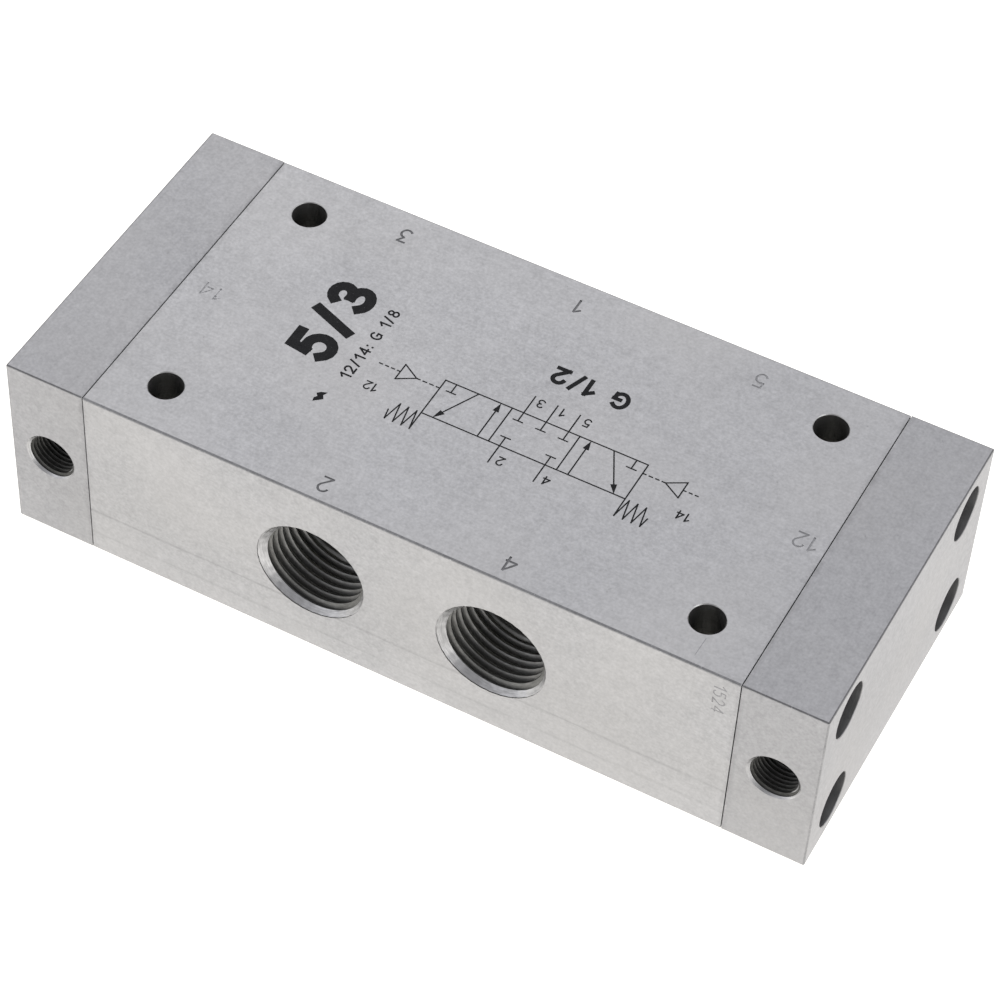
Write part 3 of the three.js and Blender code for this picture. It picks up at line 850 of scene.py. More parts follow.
def stamp_tools():
    """Tools that press the port numbers, the nicks and the scribed number into the faces."""
    tools = []
    chance = random.Random(14)
    for text, x, y, depth, uneven in STAMPS:
        width = width_of(text, STAMP_HEIGHT, STAMP_WIDTH, STAMPED_FIGURES, STAMP_GAP)
        origin = (x + width / 2, y + STAMP_HEIGHT / 2)
        # painted shade: the deeper strokes take the darker groove colour
        material = STAMP if depth > FAINT_DEPTH else FAINT_STAMP_SHADE
        strokes = written(text, origin, STAMP_HEIGHT, STAMP_WIDTH, FACING_BACK, STAMPED_FIGURES, STAMP_GAP)
        if uneven:
            strokes = [dash for path in strokes for dash in dashes(path, UNEVEN_DASH)]
        for path in strokes:
            struck = depth * chance.uniform(*UNEVEN_DEPTHS) if uneven else depth
            tools.append(pressing_tool(path, BODY_TOP, struck, material))
    for x1, y1, x2, y2, depth in NICKS:
        nick = [Vector((x1, y1, 0)), Vector((x2, y2, 0))]
        tools.append(pressing_tool(nick, BODY_TOP, depth, FAINT_STAMP_SHADE))
    for path in written(SCRIBED_TEXT, (0, 0), SCRIBED_HEIGHT, 0.1, SCRIBED_FACING, FIGURES, 0.3):
        tool = pressing_tool(path, HALF_WIDTH, SCRIBED_DEPTH, FAINT_STAMP_SHADE)
        for vertex in tool.data.vertices:
            x, y, height = vertex.co
            vertex.co = Vector((SCRIBED_X + x, -height, SCRIBED_Z + y))
        tools.append(tool)
    return tools


INK_LOW = BODY_TOP - 0.01
LINE = 0.26
LINE_END = LINE / 2.4
# the circuit symbol is drawn from the far side: u runs along -X and v along -Y
BOX_LEFT, BOX_RIGHT = -29.0, 11.1
BOX_BOTTOM, BOX_TOP = -0.94, 8.06
BACK_TRIM = 0.1
BOX_WIDTH = (BOX_RIGHT - BOX_LEFT) / 3
SIXTH = BOX_WIDTH / 6
STUB = 2.22
OUTER_REACH = 4.6
T_WIDTH = 2.05
PILOT_V = 1.28
PILOT_LINES = ((-39.7, -36.8), (-33.4, -29.0), (11.1, 15.8), (19.06, 23.3))
PILOT_TRIANGLES = ((-36.8, -33.4), (19.06, 15.8))
TRIANGLE_HALF = 2.0
DASH, DASH_GAP = 0.6, 0.62
SPRING_WIDTH = 5.8
SPRING_FOLDS = 7
SPRING_HEIGHT = 4.38


def spot(u, v):
    return Vector((-u, -v, 0))


def symbol_strokes():
    """The 5/3 closed-centre symbol with two pilot lines and two springs, as centre lines."""
    strokes = []
    edges = [BOX_LEFT + BOX_WIDTH * n for n in range(4)]
    strokes.append([spot(edges[0] - LINE / 2, BOX_BOTTOM), spot(edges[3] + LINE / 2, BOX_BOTTOM)])
    strokes.append([spot(edges[0] - LINE / 2, BOX_TOP), spot(edges[3] + LINE / 2, BOX_TOP)])
    for u in edges:
        strokes.append([spot(u, BOX_BOTTOM), spot(u, BOX_TOP)])

    def capped(u, start, stop):
        strokes.append([spot(u, start), spot(u, stop)])
        strokes.append([spot(u - T_WIDTH / 2, stop), spot(u + T_WIDTH / 2, stop)])

    for place in (1, 3, 5):
        capped(edges[1] + SIXTH * place, BOX_BOTTOM - OUTER_REACH, BOX_BOTTOM + STUB)
    for place in (1, 5):
        capped(edges[1] + SIXTH * place, BOX_TOP + OUTER_REACH - BACK_TRIM, BOX_TOP - STUB)
    capped(edges[0] + SIXTH, BOX_BOTTOM, BOX_BOTTOM + STUB)
    capped(edges[2] + SIXTH * 5, BOX_BOTTOM, BOX_BOTTOM + STUB)
    return strokes


def flow_arrows():
    """(tail, tip) of the four flow arrows in the outer boxes."""
    left, right = BOX_LEFT, BOX_RIGHT - BOX_WIDTH
    return [
        (spot(left + SIXTH * 3, BOX_BOTTOM), spot(left + SIXTH, BOX_TOP)),
        (spot(left + SIXTH * 5, BOX_TOP), spot(left + SIXTH * 5, BOX_BOTTOM)),
        (spot(right + SIXTH, BOX_TOP), spot(right + SIXTH, BOX_BOTTOM)),
        (spot(right + SIXTH * 3, BOX_BOTTOM), spot(right + SIXTH * 5, BOX_TOP)),
    ]


ARROW_LENGTH = 2.2
ARROW_WIDTH = 1.2


def arrow_head(tail, tip):
    """Corners of a filled arrow head."""
    back = (tail - tip).normalized()
    across = Vector((-back.y, back.x, 0)) * ARROW_WIDTH / 2
    base = tip + back * ARROW_LENGTH
    return [(tip.x, tip.y), (base.x + across.x, base.y + across.y), (base.x - across.x, base.y - across.y)]


def spring_strokes(corner_u, direction):
    """A zigzag outside an upper corner of the symbol, in single strokes that never fold back."""
    folds = []
    for n in range(SPRING_FOLDS + 1):
        reach = direction * SPRING_WIDTH * n / SPRING_FOLDS
        folds.append((corner_u + reach, BOX_TOP + (0.0 if n % 2 else SPRING_HEIGHT)))
    strokes = [[spot(corner_u, BOX_TOP), spot(corner_u, BOX_TOP + SPRING_HEIGHT)]]
    for (u1, v1), (u2, v2) in zip(folds, folds[1:]):
        strokes.append([spot(u1, v1), spot(u2, v2)])
    strokes[-1][1] = (strokes[-1][0] + strokes[-1][1]) / 2
    return strokes


def pilot_strokes():
    """Dashed pilot lines with open triangles at both ends of the symbol."""
    strokes = []
    for start, stop in PILOT_LINES:
        count = max(1, round((stop - start + DASH_GAP) / (DASH + DASH_GAP)))
        length = (stop - start - DASH_GAP * (count - 1)) / count
        for n in range(count):
            u = start + n * (length + DASH_GAP)
            strokes.append([spot(u, PILOT_V), spot(u + length, PILOT_V)])
    for base, apex in PILOT_TRIANGLES:
        corners = [spot(base, PILOT_V - TRIANGLE_HALF), spot(base, PILOT_V + TRIANGLE_HALF),
                   spot(apex, PILOT_V)]
        strokes += [[corners[n - 1], corners[n]] for n in range(3)]
    return strokes


# port and pilot numbers beside the symbol: text, u of its left edge and v of its foot
SYMBOL_NUMBERS = (("5", -16.0, -5.4), ("1", -11.0, -5.4), ("3", -6.8, -5.4), ("4", -16.0, 10.2),
                  ("2", -7.0, 10.2), ("12", 20.5, 6.0), ("14", -40.8, 5.6))
# text, lower left corner, height, stroke width, directions, gap, and how far the ends are drawn out
LETTERING = tuple((text, (-u, -v), 2.1, 0.28, FACING_BACK, 0.16, 0.12) for text, u, v in SYMBOL_NUMBERS) + (
    ("G 1/2", (19.7, 14.2), 4.3, 0.85, FACING_BACK, 0.16, 0.425),
    ("5/3", (-31.0, -6.6), 9.3, 2.1, FACING_SIDE, 0.12, 1.0),
    ("12/14: G 1/8", (-25.9, -7.6), 2.3, 0.36, FACING_SIDE, 0.2, 0.17),
)
BLOT = ((-27.6, -12.2), (-28.0, -13.1), (-27.5, -13.9), (-28.3, -14.6), (-29.0, -15.2),
        (-29.2, -14.4), (-28.8, -13.8), (-29.3, -13.2), (-28.7, -12.6))


def printed_marks():
    """All the print on the top face, joined into one thin layer."""
    layers = []

    def print_strokes(strokes, width, drawn_out=0.0):
        for path in strokes:
            ends = square_ended(path, drawn_out) if drawn_out else path
            layers.append(ribbon(ends, width, INK_LOW, TOP, INK))

    print_strokes(symbol_strokes(), LINE)
    print_strokes(pilot_strokes(), LINE, LINE_END)
    for corner, direction in ((BOX_LEFT, -1), (BOX_RIGHT, 1)):
        print_strokes(spring_strokes(corner, direction), LINE, LINE_END)
    for tail, tip in flow_arrows():
        back = (tail - tip).normalized()
        print_strokes([[tail, tip + back * ARROW_LENGTH * 0.8]], LINE)
        layers.append(prism(arrow_head(tail, tip), INK_LOW, TOP, INK))
    for text, origin, height, weight, facing, gap, drawn_out in LETTERING:
        print_strokes(written(text, origin, height, weight, facing, FIGURES, gap), weight, drawn_out)
    layers.append(prism(BLOT, INK_LOW, TOP, INK))
    print_piece = layers.pop(0)
    carve(print_piece, layers, "UNION")
    print_piece.name = "printed_marking"
    shade(print_piece, flat=[INK])
    to_metres(print_piece)
    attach(print_piece, "housing")


# ---------------- valve body


def drilled(stations, material, axis="x", centre=AXIS_LINE, segments=FINE, ripple=None):
    """A round tool from (along, radius) stations, closed on the axis at both ends."""
    profile = [(stations[0][0], 0.0), *stations, (stations[-1][0], 0.0)]
    return turned(profile, material, axis, centre, segments, ripple)


def sided(side, stations):
    """The stations with their distances on one side of the middle."""
    return [(side * distance, radius) for distance, radius in stations]


def both_ways(half):
    """A profile that is the same on both sides of the middle, from its positive half."""
    return [(-along, radius) for along, radius in reversed(half)] + half


def chatter(distance, angle):
    """Slanting waves that a trembling countersink leaves."""
    return CHATTER_DEPTH * math.sin(CHATTER_WAVES * angle + CHATTER_SLANT * distance)


def port_tools(thread, stations, thread_depth, fade, metal, centre, side, segments, ripple=None, shift=0.0):
    """Tools for a threaded port on the face at side * HALF_WIDTH.

    stations and segments are those of its mouth, its drilled part and its passage, and segments
    ends with the thread's. The thread fades out at its inner end.
    """
    mouth, drill, passage = (sided(side, part) for part in stations)
    inner_end = side * (HALF_WIDTH - thread_depth)
    low, high = sorted((inner_end, side * (HALF_WIDTH + THREAD_MARGIN)))
    return [
        drilled(mouth, MOUTH, "y", centre, segments[0], ripple),
        drilled(drill, metal, "y", centre, segments[1]),
        drilled(passage, BORE_Y, "y", centre, segments[2]),
        threaded(thread, low, high, metal, "y", centre, segments[3], FINE_ROWS, [(inner_end, fade)], shift),
    ]


def working_port(x, side):
    """Tools for one G 1/2 port."""
    drill_r = G_HALF["minor"] + CREST_FLAT
    rim = HALF_WIDTH - PORT_RIM_DEPTH
    mouth = rim - (PORT_MOUTH_R - drill_r)
    bottom = HALF_WIDTH - PORT_DEPTH
    stations = (
        [(mouth - SLIVER, drill_r), (rim, PORT_MOUTH_R), (HALF_WIDTH + CUT_MARGIN, PORT_MOUTH_R)],
        [(bottom, drill_r - 0.4), (bottom + 0.4, drill_r), (mouth + OVERLAP, drill_r)],
        [(PASSAGE_END, PASSAGE_R), (bottom, PASSAGE_R), (bottom + 0.5, PASSAGE_R + 0.5)],
    )
    return port_tools(G_HALF, stations, PORT_THREAD_DEPTH, PORT_THREAD_FADE, THREAD, (x, 0, AXIS_Z), side,
                      (2 * FINE, FINE, MEDIUM, PORT_SEGMENTS), chatter, side * THREAD_SHIFT)


def bore_tool():
    """The stepped bore through the body, with the retaining ring grooves."""
    groove_end = RING_START + RING_GROOVE_WIDTH
    burr = 0.3
    half = [
        (PISTON_BORE_START, PACK_BORE_R), (PISTON_BORE_START, PISTON_BORE_R),
        (RING_START, PISTON_BORE_R), (RING_START, RING_GROOVE_R),
        (groove_end, RING_GROOVE_R), (groove_end, PISTON_BORE_R),
        (BODY_HALF - burr, PISTON_BORE_R), (BODY_HALF + CUT_MARGIN, PISTON_BORE_R + burr + CUT_MARGIN),
    ]
    return drilled(both_ways(half), BORE_X)


def screw_places():
    """(y, z) of an end cap's four screws, in the order of their node numbers."""
    return [(y, AXIS_Z + z) for y in (-SCREW_Y, SCREW_Y) for z in (-SCREW_Z, SCREW_Z)]


def valve_body():
    """The drilled and tapped block, with its numbers pressed in."""
    piece = block((-BODY_HALF, -HALF_WIDTH, 0), (BODY_HALF, HALF_WIDTH, BODY_TOP),
                  BODY_FACE, BODY_EDGE, BODY_ROUNDING)
    tools = stamp_tools()
    burr = 0.15
    mouth_r = MOUNTING_HOLE_R + burr + CUT_MARGIN
    stations = [(-CUT_MARGIN, mouth_r), (burr, MOUNTING_HOLE_R),
                (BODY_TOP - burr, MOUNTING_HOLE_R), (BODY_TOP + CUT_MARGIN, mouth_r)]
    for x in (-MOUNTING_X, MOUNTING_X):
        for y in (-MOUNTING_Y, MOUNTING_Y):
            tools.append(drilled(stations, BORE_Z, "z", (x, y, 0), MEDIUM))
    bottom = BODY_HALF - TAPPED_DEPTH
    mouth = [(BODY_HALF - 0.3, M6_HOLE["minor"] + 0.01), (BODY_HALF + CUT_MARGIN, M6_HOLE["major"] + 1.2)]
    for _, side in ENDS:
        for y, z in screw_places():
            centre = (0, y, z)
            for tool in (
                drilled(mouth, TAPPED, "x", centre, SMALL),
                threaded(M6_HOLE, bottom, BODY_HALF + 1.5, TAPPED, "x", centre, SMALL, COARSE_ROWS,
                         [(bottom - 0.5, 1.0)]),
            ):
                if side < 0:
                    flip_ends(tool)
                tools.append(tool)
    tools.append(bore_tool())
    for port in FRONT_PORTS:
        tools += working_port(PORT_X[port], -1)
    for port in BACK_PORTS:
        tools += working_port(PORT_X[port], 1)
    carve(piece, tools)
    place(piece, "valve_body", "housing", "housing_aluminium", flat=[BODY_FACE, BODY_EDGE])


# ---------------- end caps and screws


def end_cap(number, side):
    """Built at the +X end; the pilot port is cut on the front face of either end."""
    piece = block((CAP_INNER, -HALF_WIDTH, 0), (HALF_LENGTH, HALF_WIDTH, TOP),
                  CAP_FACE, CAP_EDGE, CAP_ROUNDING)
    outside, groove_end = CAP_INNER - CUT_MARGIN, CAP_INNER + FACE_GROOVE_DEPTH
    groove_in, groove_out = FACE_SEAL_R - FACE_GROOVE_HALF, FACE_SEAL_R + FACE_GROOVE_HALF
    groove = [(outside, groove_in), (groove_end, groove_in), (groove_end, groove_out),
              (outside, groove_out), (outside, groove_in)]
    pocket = [(RECESS_END - 0.2, POCKET_R + 0.3), (RECESS_END + 0.3, POCKET_R), (POCKET_END, POCKET_R)]
    tools = [
        turned(groove, BORE_X),
        drilled([(outside, PISTON_BORE_R), (RECESS_END, PISTON_BORE_R)], BORE_X),
        drilled(pocket, BORE_X, segments=MEDIUM),
    ]
    burr = 0.12
    bottom = HALF_LENGTH - COUNTERBORE_DEPTH
    clearance = [(outside, CLEARANCE_R), (bottom + 1, CLEARANCE_R)]
    counterbore = [(bottom, COUNTERBORE_R), (HALF_LENGTH - burr, COUNTERBORE_R),
                   (HALF_LENGTH + CUT_MARGIN, COUNTERBORE_R + burr + CUT_MARGIN)]
    for y, z in screw_places():
        tools.append(drilled(clearance, COUNTERBORE, "x", (0, y, z), SMALL))
        tools.append(drilled(counterbore, COUNTERBORE, "x", (0, y, z), MEDIUM))
    drill_r = G_EIGHTH["minor"] + CREST_FLAT
    mouth = HALF_WIDTH - (PILOT_MOUTH_R - drill_r)
    bottom = HALF_WIDTH - PILOT_DEPTH
    stations = (
        [(mouth - SLIVER, drill_r), (HALF_WIDTH + CUT_MARGIN, PILOT_MOUTH_R + CUT_MARGIN)],
        [(bottom, drill_r), (mouth + OVERLAP, drill_r)],
        [(POCKET_R / 2, PILOT_DRILL_R), (bottom + 0.3, PILOT_DRILL_R)],
    )
    tools += port_tools(G_EIGHTH, stations, PILOT_THREAD_DEPTH, PILOT_THREAD_FADE, PILOT_THREAD,
                        (CAP_CENTRE, 0, AXIS_Z), -side, (MEDIUM, MEDIUM, SMALL, MEDIUM))
    carve(piece, tools)
    place(piece, f"end_cap_{number}", "housing", "housing_aluminium", side, [CAP_FACE, CAP_EDGE])


def cap_screw(number, side, order, y, z):
    """M6 socket head screw with a knurled head, a hexagon socket and a cut thread."""
    under = HALF_LENGTH - COUNTERBORE_DEPTH + SCREW_SEAT_GAP
    top = under + SCREW_HEAD_HEIGHT
    ridges, ridge_depth = 44, 0.12
    centre = (0, y, z)

    def knurl(distance, angle):
        depth = ridge_depth * ease((distance - under - 0.3) / 0.3) * ease((top - 0.9 - distance) / 0.3)
        return -depth * abs(math.sin(angle * ridges / 2))

    def tool(stations, segments=SMALL):
        return drilled(stations, SCREW_STEEL, "x", centre, segments)

    profile = filleted([(under, 0), (under, SCREW_HEAD_R), (top, SCREW_HEAD_R), (top, 0)], 0.45, 4)
    side_rows = [under + 0.5 + (SCREW_HEAD_HEIGHT - 1.0) * n / 8 for n in range(9)]
    half = len(profile) // 2
    profile = profile[:half] + [(row, SCREW_HEAD_R) for row in side_rows] + profile[half:]
    piece = turned(profile, SCREW_STEEL, "x", centre, ridges * 4, knurl)
    flat_r = SOCKET_ACROSS_FLATS / 2
    socket_r = flat_r / math.cos(math.pi / 6)
    floor = top - SOCKET_DEPTH
    outside = top + CUT_MARGIN
    # the hexagon socket, the drill's cone below it and the chamfer at its mouth
    carve(piece, [
        tool([(floor, socket_r), (outside, socket_r)], 6),
        tool([(floor - 0.9, 0.2), (floor + 0.01, flat_r - 0.05)]),
        tool([(top - 0.3, socket_r - 0.3), (outside, socket_r + CUT_MARGIN)]),
    ])
    tip = under - SCREW_LENGTH
    core_r = M6_SCREW["minor"] - 0.02
    neck_r = 2.9
    shank = tool([(tip, 1.9), (tip + 0.5, core_r), (under - 1.2, core_r),
                  (under - 0.8, neck_r), (under + 0.5, neck_r)])
    thread = threaded(M6_SCREW, tip + 1.0, under - 2.2, SCREW_STEEL, "x", centre, SMALL, COARSE_ROWS,
                      [(tip + 0.6, 1.2), (under - 0.9, 1.2)])
    carve(piece, [shank, thread], "UNION")
    place(piece, f"cap_screw_{number}_{order}", "housing", "screw_steel", side)


# ---------------- spool and seal pack


def spool():
    """Lands and stems in one turned bar, with centre holes in its ends."""
    edge = 0.4
    land_start, land_end, end_land = 7.2, 28.8, 37.2
    hole_r = 2.1
    hole_depth = 8.0
    end = SPOOL_HALF
    half = [
        (land_start - edge, STEM_R), (land_start, SPOOL_R), (land_end, SPOOL_R), (land_end + edge, STEM_R),
        (end_land - edge, STEM_R), (end_land, SPOOL_R), (end - 2 * edge, SPOOL_R), (end, SPOOL_R - edge),
        (end, hole_r + 0.5), (end - 0.5, hole_r),
        (end - hole_depth, hole_r), (end - hole_depth - hole_r / 2, 0),
    ]
    piece = turned(filleted(both_ways(half), 0.18), SPOOL_METAL)
    place(piece, "spool", "spool_assembly", "spool_aluminium")


def spool_seal(order, x):
    """Moulded ring with a rounded lip inside and out, and a shallow groove in each flank."""
    inner, outer = 9.06, 12.4
    half = 1.4
    waist = (inner + outer) / 2
    profile = [
        (x - half, inner + 0.75), (x, inner - 0.2), (x + half, inner + 0.75),
        (x + half, waist - 0.5), (x + half - 0.3, waist), (x + half, waist + 0.5),
        (x + half, outer - 0.3), (x, outer + 0.12), (x - half, outer - 0.3),
        (x - half, waist + 0.5), (x - half + 0.3, waist), (x - half, waist - 0.5),
        (x - half, inner + 0.75),
    ]
    rounded = [(along, min(max(radius, inner), outer)) for along, radius in filleted(profile, 0.5, 5)]
    place(turned(rounded, RUBBER), f"spool_seal_{order}", "housing", "seal_rubber")


def spacer(port, x):
    """Moulded cage with six rounded windows."""
    half, flange = 7.5, 1.0
    inner, waist, outer = 9.4, 11.2, 12.4
    profile = filleted([
        (x - half, inner), (x + half, inner), (x + half, outer), (x + half - flange, outer),
        (x + half - flange, waist), (x - half + flange, waist), (x - half + flange, outer),
        (x - half, outer), (x - half, inner),
    ], 0.2)
    piece = turned(profile, POLYMER)
    corners = []
    for quarter, (corner_x, corner_y) in enumerate(((4.5, 2.5), (-4.5, 2.5), (-4.5, -2.5), (4.5, -2.5))):
        corners += arc(corner_x, corner_y, 1.0, 1.0, 90 * quarter, 90 * quarter + 90, 5)
    windows = []
    for n in range(3):
        angle = math.pi * n / 3
        across = Vector((0, math.cos(angle), math.sin(angle)))
        outward = Vector((0, -math.sin(angle), math.cos(angle)))
        window = prism(corners, -14, 14, POLYMER)
        for vertex in window.data.vertices:
            window_x, window_y, reach = vertex.co
            vertex.co = Vector((x + window_x, 0, AXIS_Z)) + across * window_y + outward * reach
        windows.append(window)
    carve(piece, windows)
    place(piece, f"port_{port}_spacer", "housing", "spacer_polymer")


def guide_bush():
    """Flanged brass bush with a grease groove inside."""
    start, flange, stop = 46.5, 48.6, 50.5
    inner, outer, flange_r = 9.1, 12.4, 13.4
    groove_r = inner + 0.35
    profile = filleted([
        (start, inner), (start + 1.4, inner), (start + 1.7, groove_r), (start + 2.3, groove_r),
        (start + 2.6, inner), (stop, inner), (stop, flange_r), (flange, flange_r), (flange, outer),
        (start, outer), (start, inner),
    ], 0.18)
    return turned(profile, BRASS)


def retaining_ring():
    """Internal snap ring, open at the bottom, with a plier hole in each lug."""
    low, high = box_mm("retaining_ring_12")
    outer = (high.y - low.y) / 2
    inner, lug_inner = 11.6, 10.3
    gap, lug = 18, 17
    outline = arc(0, 0, outer, outer, gap - 90, 270 - gap, 96)
    outline += arc(0, 0, lug_inner, lug_inner, 270 - gap, 270 - gap - lug, 8)
    outline += arc(0, 0, inner, inner, 270 - gap - lug, gap + lug - 90, 80)
    outline += arc(0, 0, lug_inner, lug_inner, gap + lug - 90, gap - 90, 8)
    piece = prism(outline, low.x, high.x, RING_STEEL)
    hole_at = (lug_inner + outer) / 2 - 0.3
    holes = []
    for turn in (gap + lug / 2, -gap - lug / 2):
        angle = math.radians(turn - 90)
        holes.append(drilled([(low.x - 1, 0.9), (high.x + 1, 0.9)], RING_STEEL, "z",
                             (hole_at * math.cos(angle), hole_at * math.sin(angle), 0), SMALL))
    carve(piece, holes)
    bm = bmesh.new()
    bm.from_mesh(piece.data)
    rim = [edge for edge in bm.edges if edge.calc_face_angle(0.0) > math.radians(60)
           and abs(edge.verts[0].co.z - edge.verts[1].co.z) < 1e-4]
    bmesh.ops.bevel(bm, geom=rim, offset=0.07, segments=2, profile=0.5, affect="EDGES")
    bm.to_mesh(piece.data)
    bm.free()
    for vertex in piece.data.vertices:
        x, y, z = vertex.co
        vertex.co = Vector((z, x, y + AXIS_Z))
    return piece


def pilot_piston():
    """Top-hat piston: its crown pushes the spool and its brim carries the seal."""
    crown = box_mm("pilot_piston_12")[0].x
    crown_r, brim_r = 8.8, 13.4
    brim_start, brim_end = 58.0, 64.0
    groove_start, groove_end, groove_r = 59.5, 62.7, 10.6
    floor = crown + PISTON_FLOOR
    profile = filleted([
        (crown, 0), (crown, crown_r - 0.5), (crown + 0.5, crown_r), (brim_start, crown_r),
        (brim_start, brim_r), (groove_start, brim_r), (groove_start, groove_r), (groove_end, groove_r),
        (groove_end, brim_r), (brim_end, brim_r), (brim_end, POCKET_R + 0.5), (brim_end - 0.5, POCKET_R),
        (floor, POCKET_R), (floor, 0),
    ], 0.2)
    return turned(profile, PISTON_METAL)


def piston_seal():
    """Rounded seal ring with a groove between its two lips."""
    low, high = 59.6, 62.6
    inner, outer = 10.7, 13.44
    middle = (low + high) / 2
    profile = [
        (low, inner), (high, inner), (high, outer - 0.5), (high - 0.7, outer + 0.2), (middle, outer - 0.45),
        (low + 0.7, outer + 0.2), (low, outer - 0.5), (low, inner),
    ]
    rounded = [(along, min(radius, outer)) for along, radius in filleted(profile, 0.4, 5)]
    return turned(rounded, RUBBER)


def face_seal():
    """O-ring pressed a little flat between cap and body."""
    low, high = box_mm("cap_face_seal_12")
    centre, squeezed = (low.x + high.x) / 2, (high.x - low.x) / 2
    profile = arc(centre, FACE_SEAL_R, squeezed, 1.0, 0, 360, 28)
    profile[-1] = profile[0]
    return turned(profile, RUBBER)


def centring_spring(number, side):
    """Compression spring with close, ground end turns.
    """
    start = box_mm("pilot_piston_12")[0].x + PISTON_FLOOR + SPRING_GAP + SPRING_WIRE_R
    stop = POCKET_END - SPRING_GAP - SPRING_WIRE_R
    length = stop - start
    give = 6 * TRAVEL / length
    steps = SPRING_TURNS * 40
    path, frames = [], []
    for n in range(steps + 1):
        share = n / steps
        turn = SPRING_TURNS * (share - give * (share ** 2 / 2 - share ** 3 / 3)) / (1 - give / 6)
        angle = 2 * math.pi * turn
        radial = Vector((0, math.cos(angle), math.sin(angle)))
        path.append(Vector((start + length * share, 0, AXIS_Z)) + radial * SPRING_R)
        frames.append(radial)
    crossed = []
    for n, radial in enumerate(frames):
        heading = (path[min(n + 1, steps)] - path[max(n - 1, 0)]).normalized()
        crossed.append((radial, heading.cross(radial)))
    piece = tube(path, crossed, SPRING_WIRE_R, SPRING_STEEL)
    for vertex in piece.data.vertices:
        vertex.co.x = min(max(vertex.co.x, start - SPRING_GROUND), stop + SPRING_GROUND)
    place(piece, f"centring_spring_{number}", None, "spring_steel", side)
    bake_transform(piece)


# ---------------- stage, lights and camera


TABLE_TOP, TABLE_FOOT, TABLE_R = -0.05, -10.0, 3000.0
TABLE_SEGMENTS = 96
TABLE_GLOW = (1, 0.972, 0.93, 1)
TABLE_GLOW_STRENGTH = 1.03


def stage():
    """A pale table, like the white one of a product shot."""
    surface = Surface("table", metallic=0.0)
    tone, colour = surface.toned(((8, 0.5), (90, 0.5)), (0.45, 0.45, 0.45), (0.49, 0.49, 0.49), 0.3, 0.7)
    surface.shader.inputs["Emission Color"].default_value = TABLE_GLOW
    surface.shader.inputs["Emission Strength"].default_value = TABLE_GLOW_STRENGTH
    material = surface.finish(colour, surface.span(tone, 0.3, 0.7, 0.9, 0.8))
    floor = turned([(TABLE_FOOT, 0), (TABLE_FOOT, TABLE_R), (TABLE_TOP, TABLE_R), (TABLE_TOP, 0)],
                   material, "z", (0, 0, 0), TABLE_SEGMENTS)
    floor.name = "table"
    to_metres(floor)


def area_light(name, place_at, aim_at, size, energy):
    data = bpy.data.lights.new(name, "AREA")
    data.shape = "DISK"
    data.size = size
    data.energy = energy
    light = add_object(name, data)
    light.location = place_at
    light.rotation_euler = (Vector(aim_at) - Vector(place_at)).to_track_quat("-Z", "Y").to_euler()


SKY_STRENGTH = (1.09, 0.87)
SKY_COLOUR = (0.955, 0.955, 1.0, 1)
DARK_SIDE = (0.42, -0.8, 0.42)
DARK_SPREAD = (0.6, 0.95)
DARK_SHARE = 0.4


def lights():
    """A pale room that is darker on the side the photograph was taken from, and two soft boxes."""
    world = bpy.data.worlds.new("studio")
    world.use_nodes = True
    room = Nodes(world.node_tree)
    direction = room.new("TexCoord").outputs["Generated"]

    def toward(axis, low, high, to_low, to_high):
        product = room.new("VectorMath")
        product.operation = "DOT_PRODUCT"
        along = room.wired(product, "Value", {0: direction, 1: Vector(axis).normalized()})
        return room.span(along, low, high, to_low, to_high, "SMOOTHSTEP")

    sky = toward((0, 0, 1), 0.2, 1.0, *SKY_STRENGTH)
    dark = toward(DARK_SIDE, *DARK_SPREAD, 1.0, DARK_SHARE)
    background = room.tree.nodes["Background"]
    room.wired(background, 0, {"Color": SKY_COLOUR, "Strength": room.math("MULTIPLY", sky, dark)})
    bpy.context.scene.world = world
    area_light("back_left", (-0.42, 0.62, 0.5), (0, 0, 0.02), 0.6, 0.6)
    area_light("right", (1.1, -0.3, 0.45), (0, 0, 0.02), 0.8, 2.8)


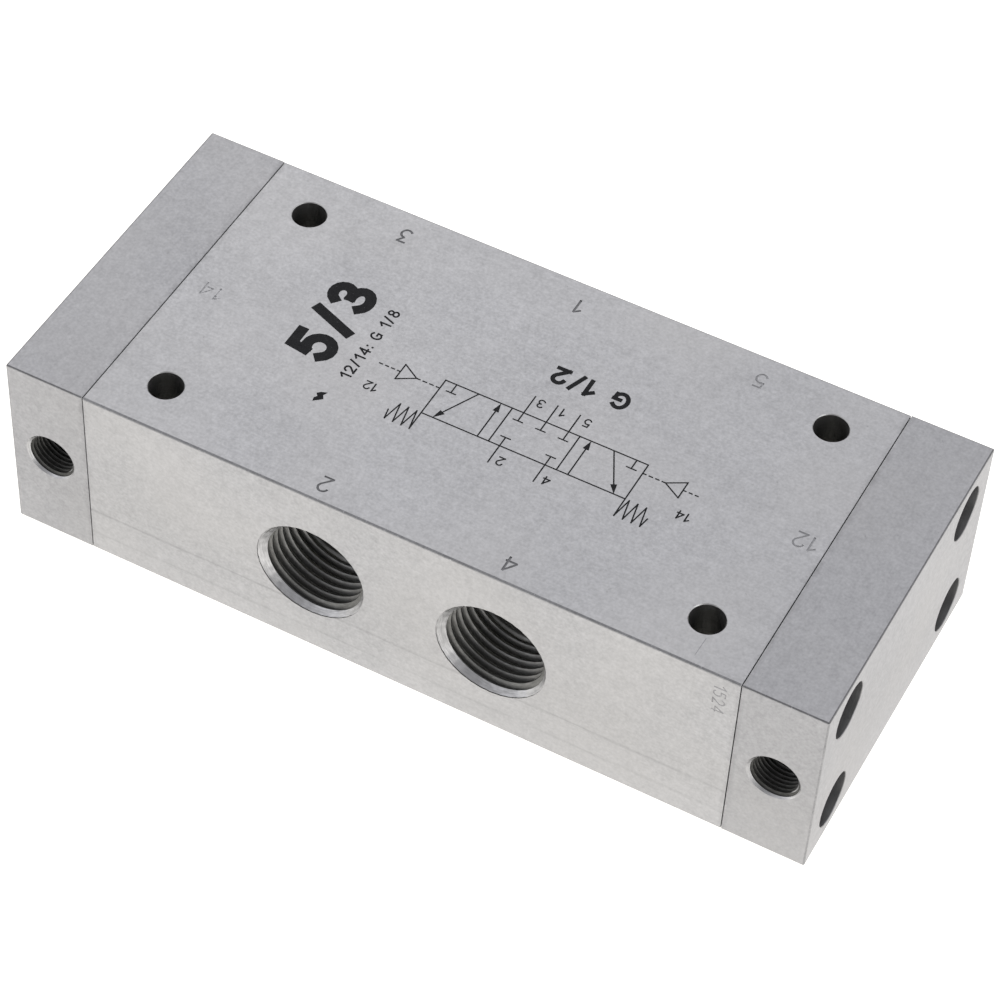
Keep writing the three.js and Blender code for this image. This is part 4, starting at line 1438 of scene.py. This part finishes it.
# worked out from the photograph's perspective
CAMERA_AIM = Vector((2.914, -3.273, 20.0)) * MM
CAMERA_DISTANCE = 612.88 * MM
CAMERA_AZIMUTH = 25.558
CAMERA_ELEVATION = 48.700
CAMERA_ROLL = 3.426
CAMERA_LENS = 123.013


def camera():
    azimuth, elevation = math.radians(CAMERA_AZIMUTH), math.radians(CAMERA_ELEVATION)
    back = Vector((math.sin(azimuth) * math.cos(elevation),
                   -math.cos(azimuth) * math.cos(elevation),
                   math.sin(elevation)))
    data = bpy.data.cameras.new("camera")
    data.lens = CAMERA_LENS
    data.sensor_width = 36
    data.clip_start = 0.01
    data.clip_end = 50
    made = add_object("camera", data)
    made.location = CAMERA_AIM + back * CAMERA_DISTANCE
    turn = (-back).to_track_quat("-Z", "Y").to_matrix()
    right, up = turn.col[0].copy(), turn.col[1].copy()
    turn.col[0] = around(right, up, math.radians(CAMERA_ROLL))
    turn.col[1] = around(up, -right, math.radians(CAMERA_ROLL))
    made.rotation_mode = "QUATERNION"
    made.rotation_quaternion = turn.to_quaternion()
    bpy.context.scene.camera = made


# ---------------- the scene

camera()
lights()
stage()
bpy.context.scene.view_settings.view_transform = "Standard"

valve_body()
printed_marks()
spool()
for port, port_x in PORT_X.items():
    spacer(port, port_x)
for seal_order, seal_x in enumerate(SEAL_X, 1):
    spool_seal(seal_order, seal_x)
for end_number, end_side in ENDS:
    end_cap(end_number, end_side)
    place(guide_bush(), f"guide_bush_{end_number}", "housing", "bush_brass", end_side)
    place(retaining_ring(), f"retaining_ring_{end_number}", "housing", "ring_steel", end_side)
    place(pilot_piston(), f"pilot_piston_{end_number}", "spool_assembly", "piston_aluminium", end_side)
    place(piston_seal(), f"piston_seal_{end_number}", "spool_assembly", "seal_rubber", end_side)
    centring_spring(end_number, end_side)
    place(face_seal(), f"cap_face_seal_{end_number}", "housing", "seal_rubber", end_side)
    # a turned end swaps the two sides, so its screws are built at the mirrored y
    for screw_order, (screw_y, screw_z) in enumerate(screw_places(), 1):
        cap_screw(end_number, end_side, screw_order, end_side * screw_y, screw_z)
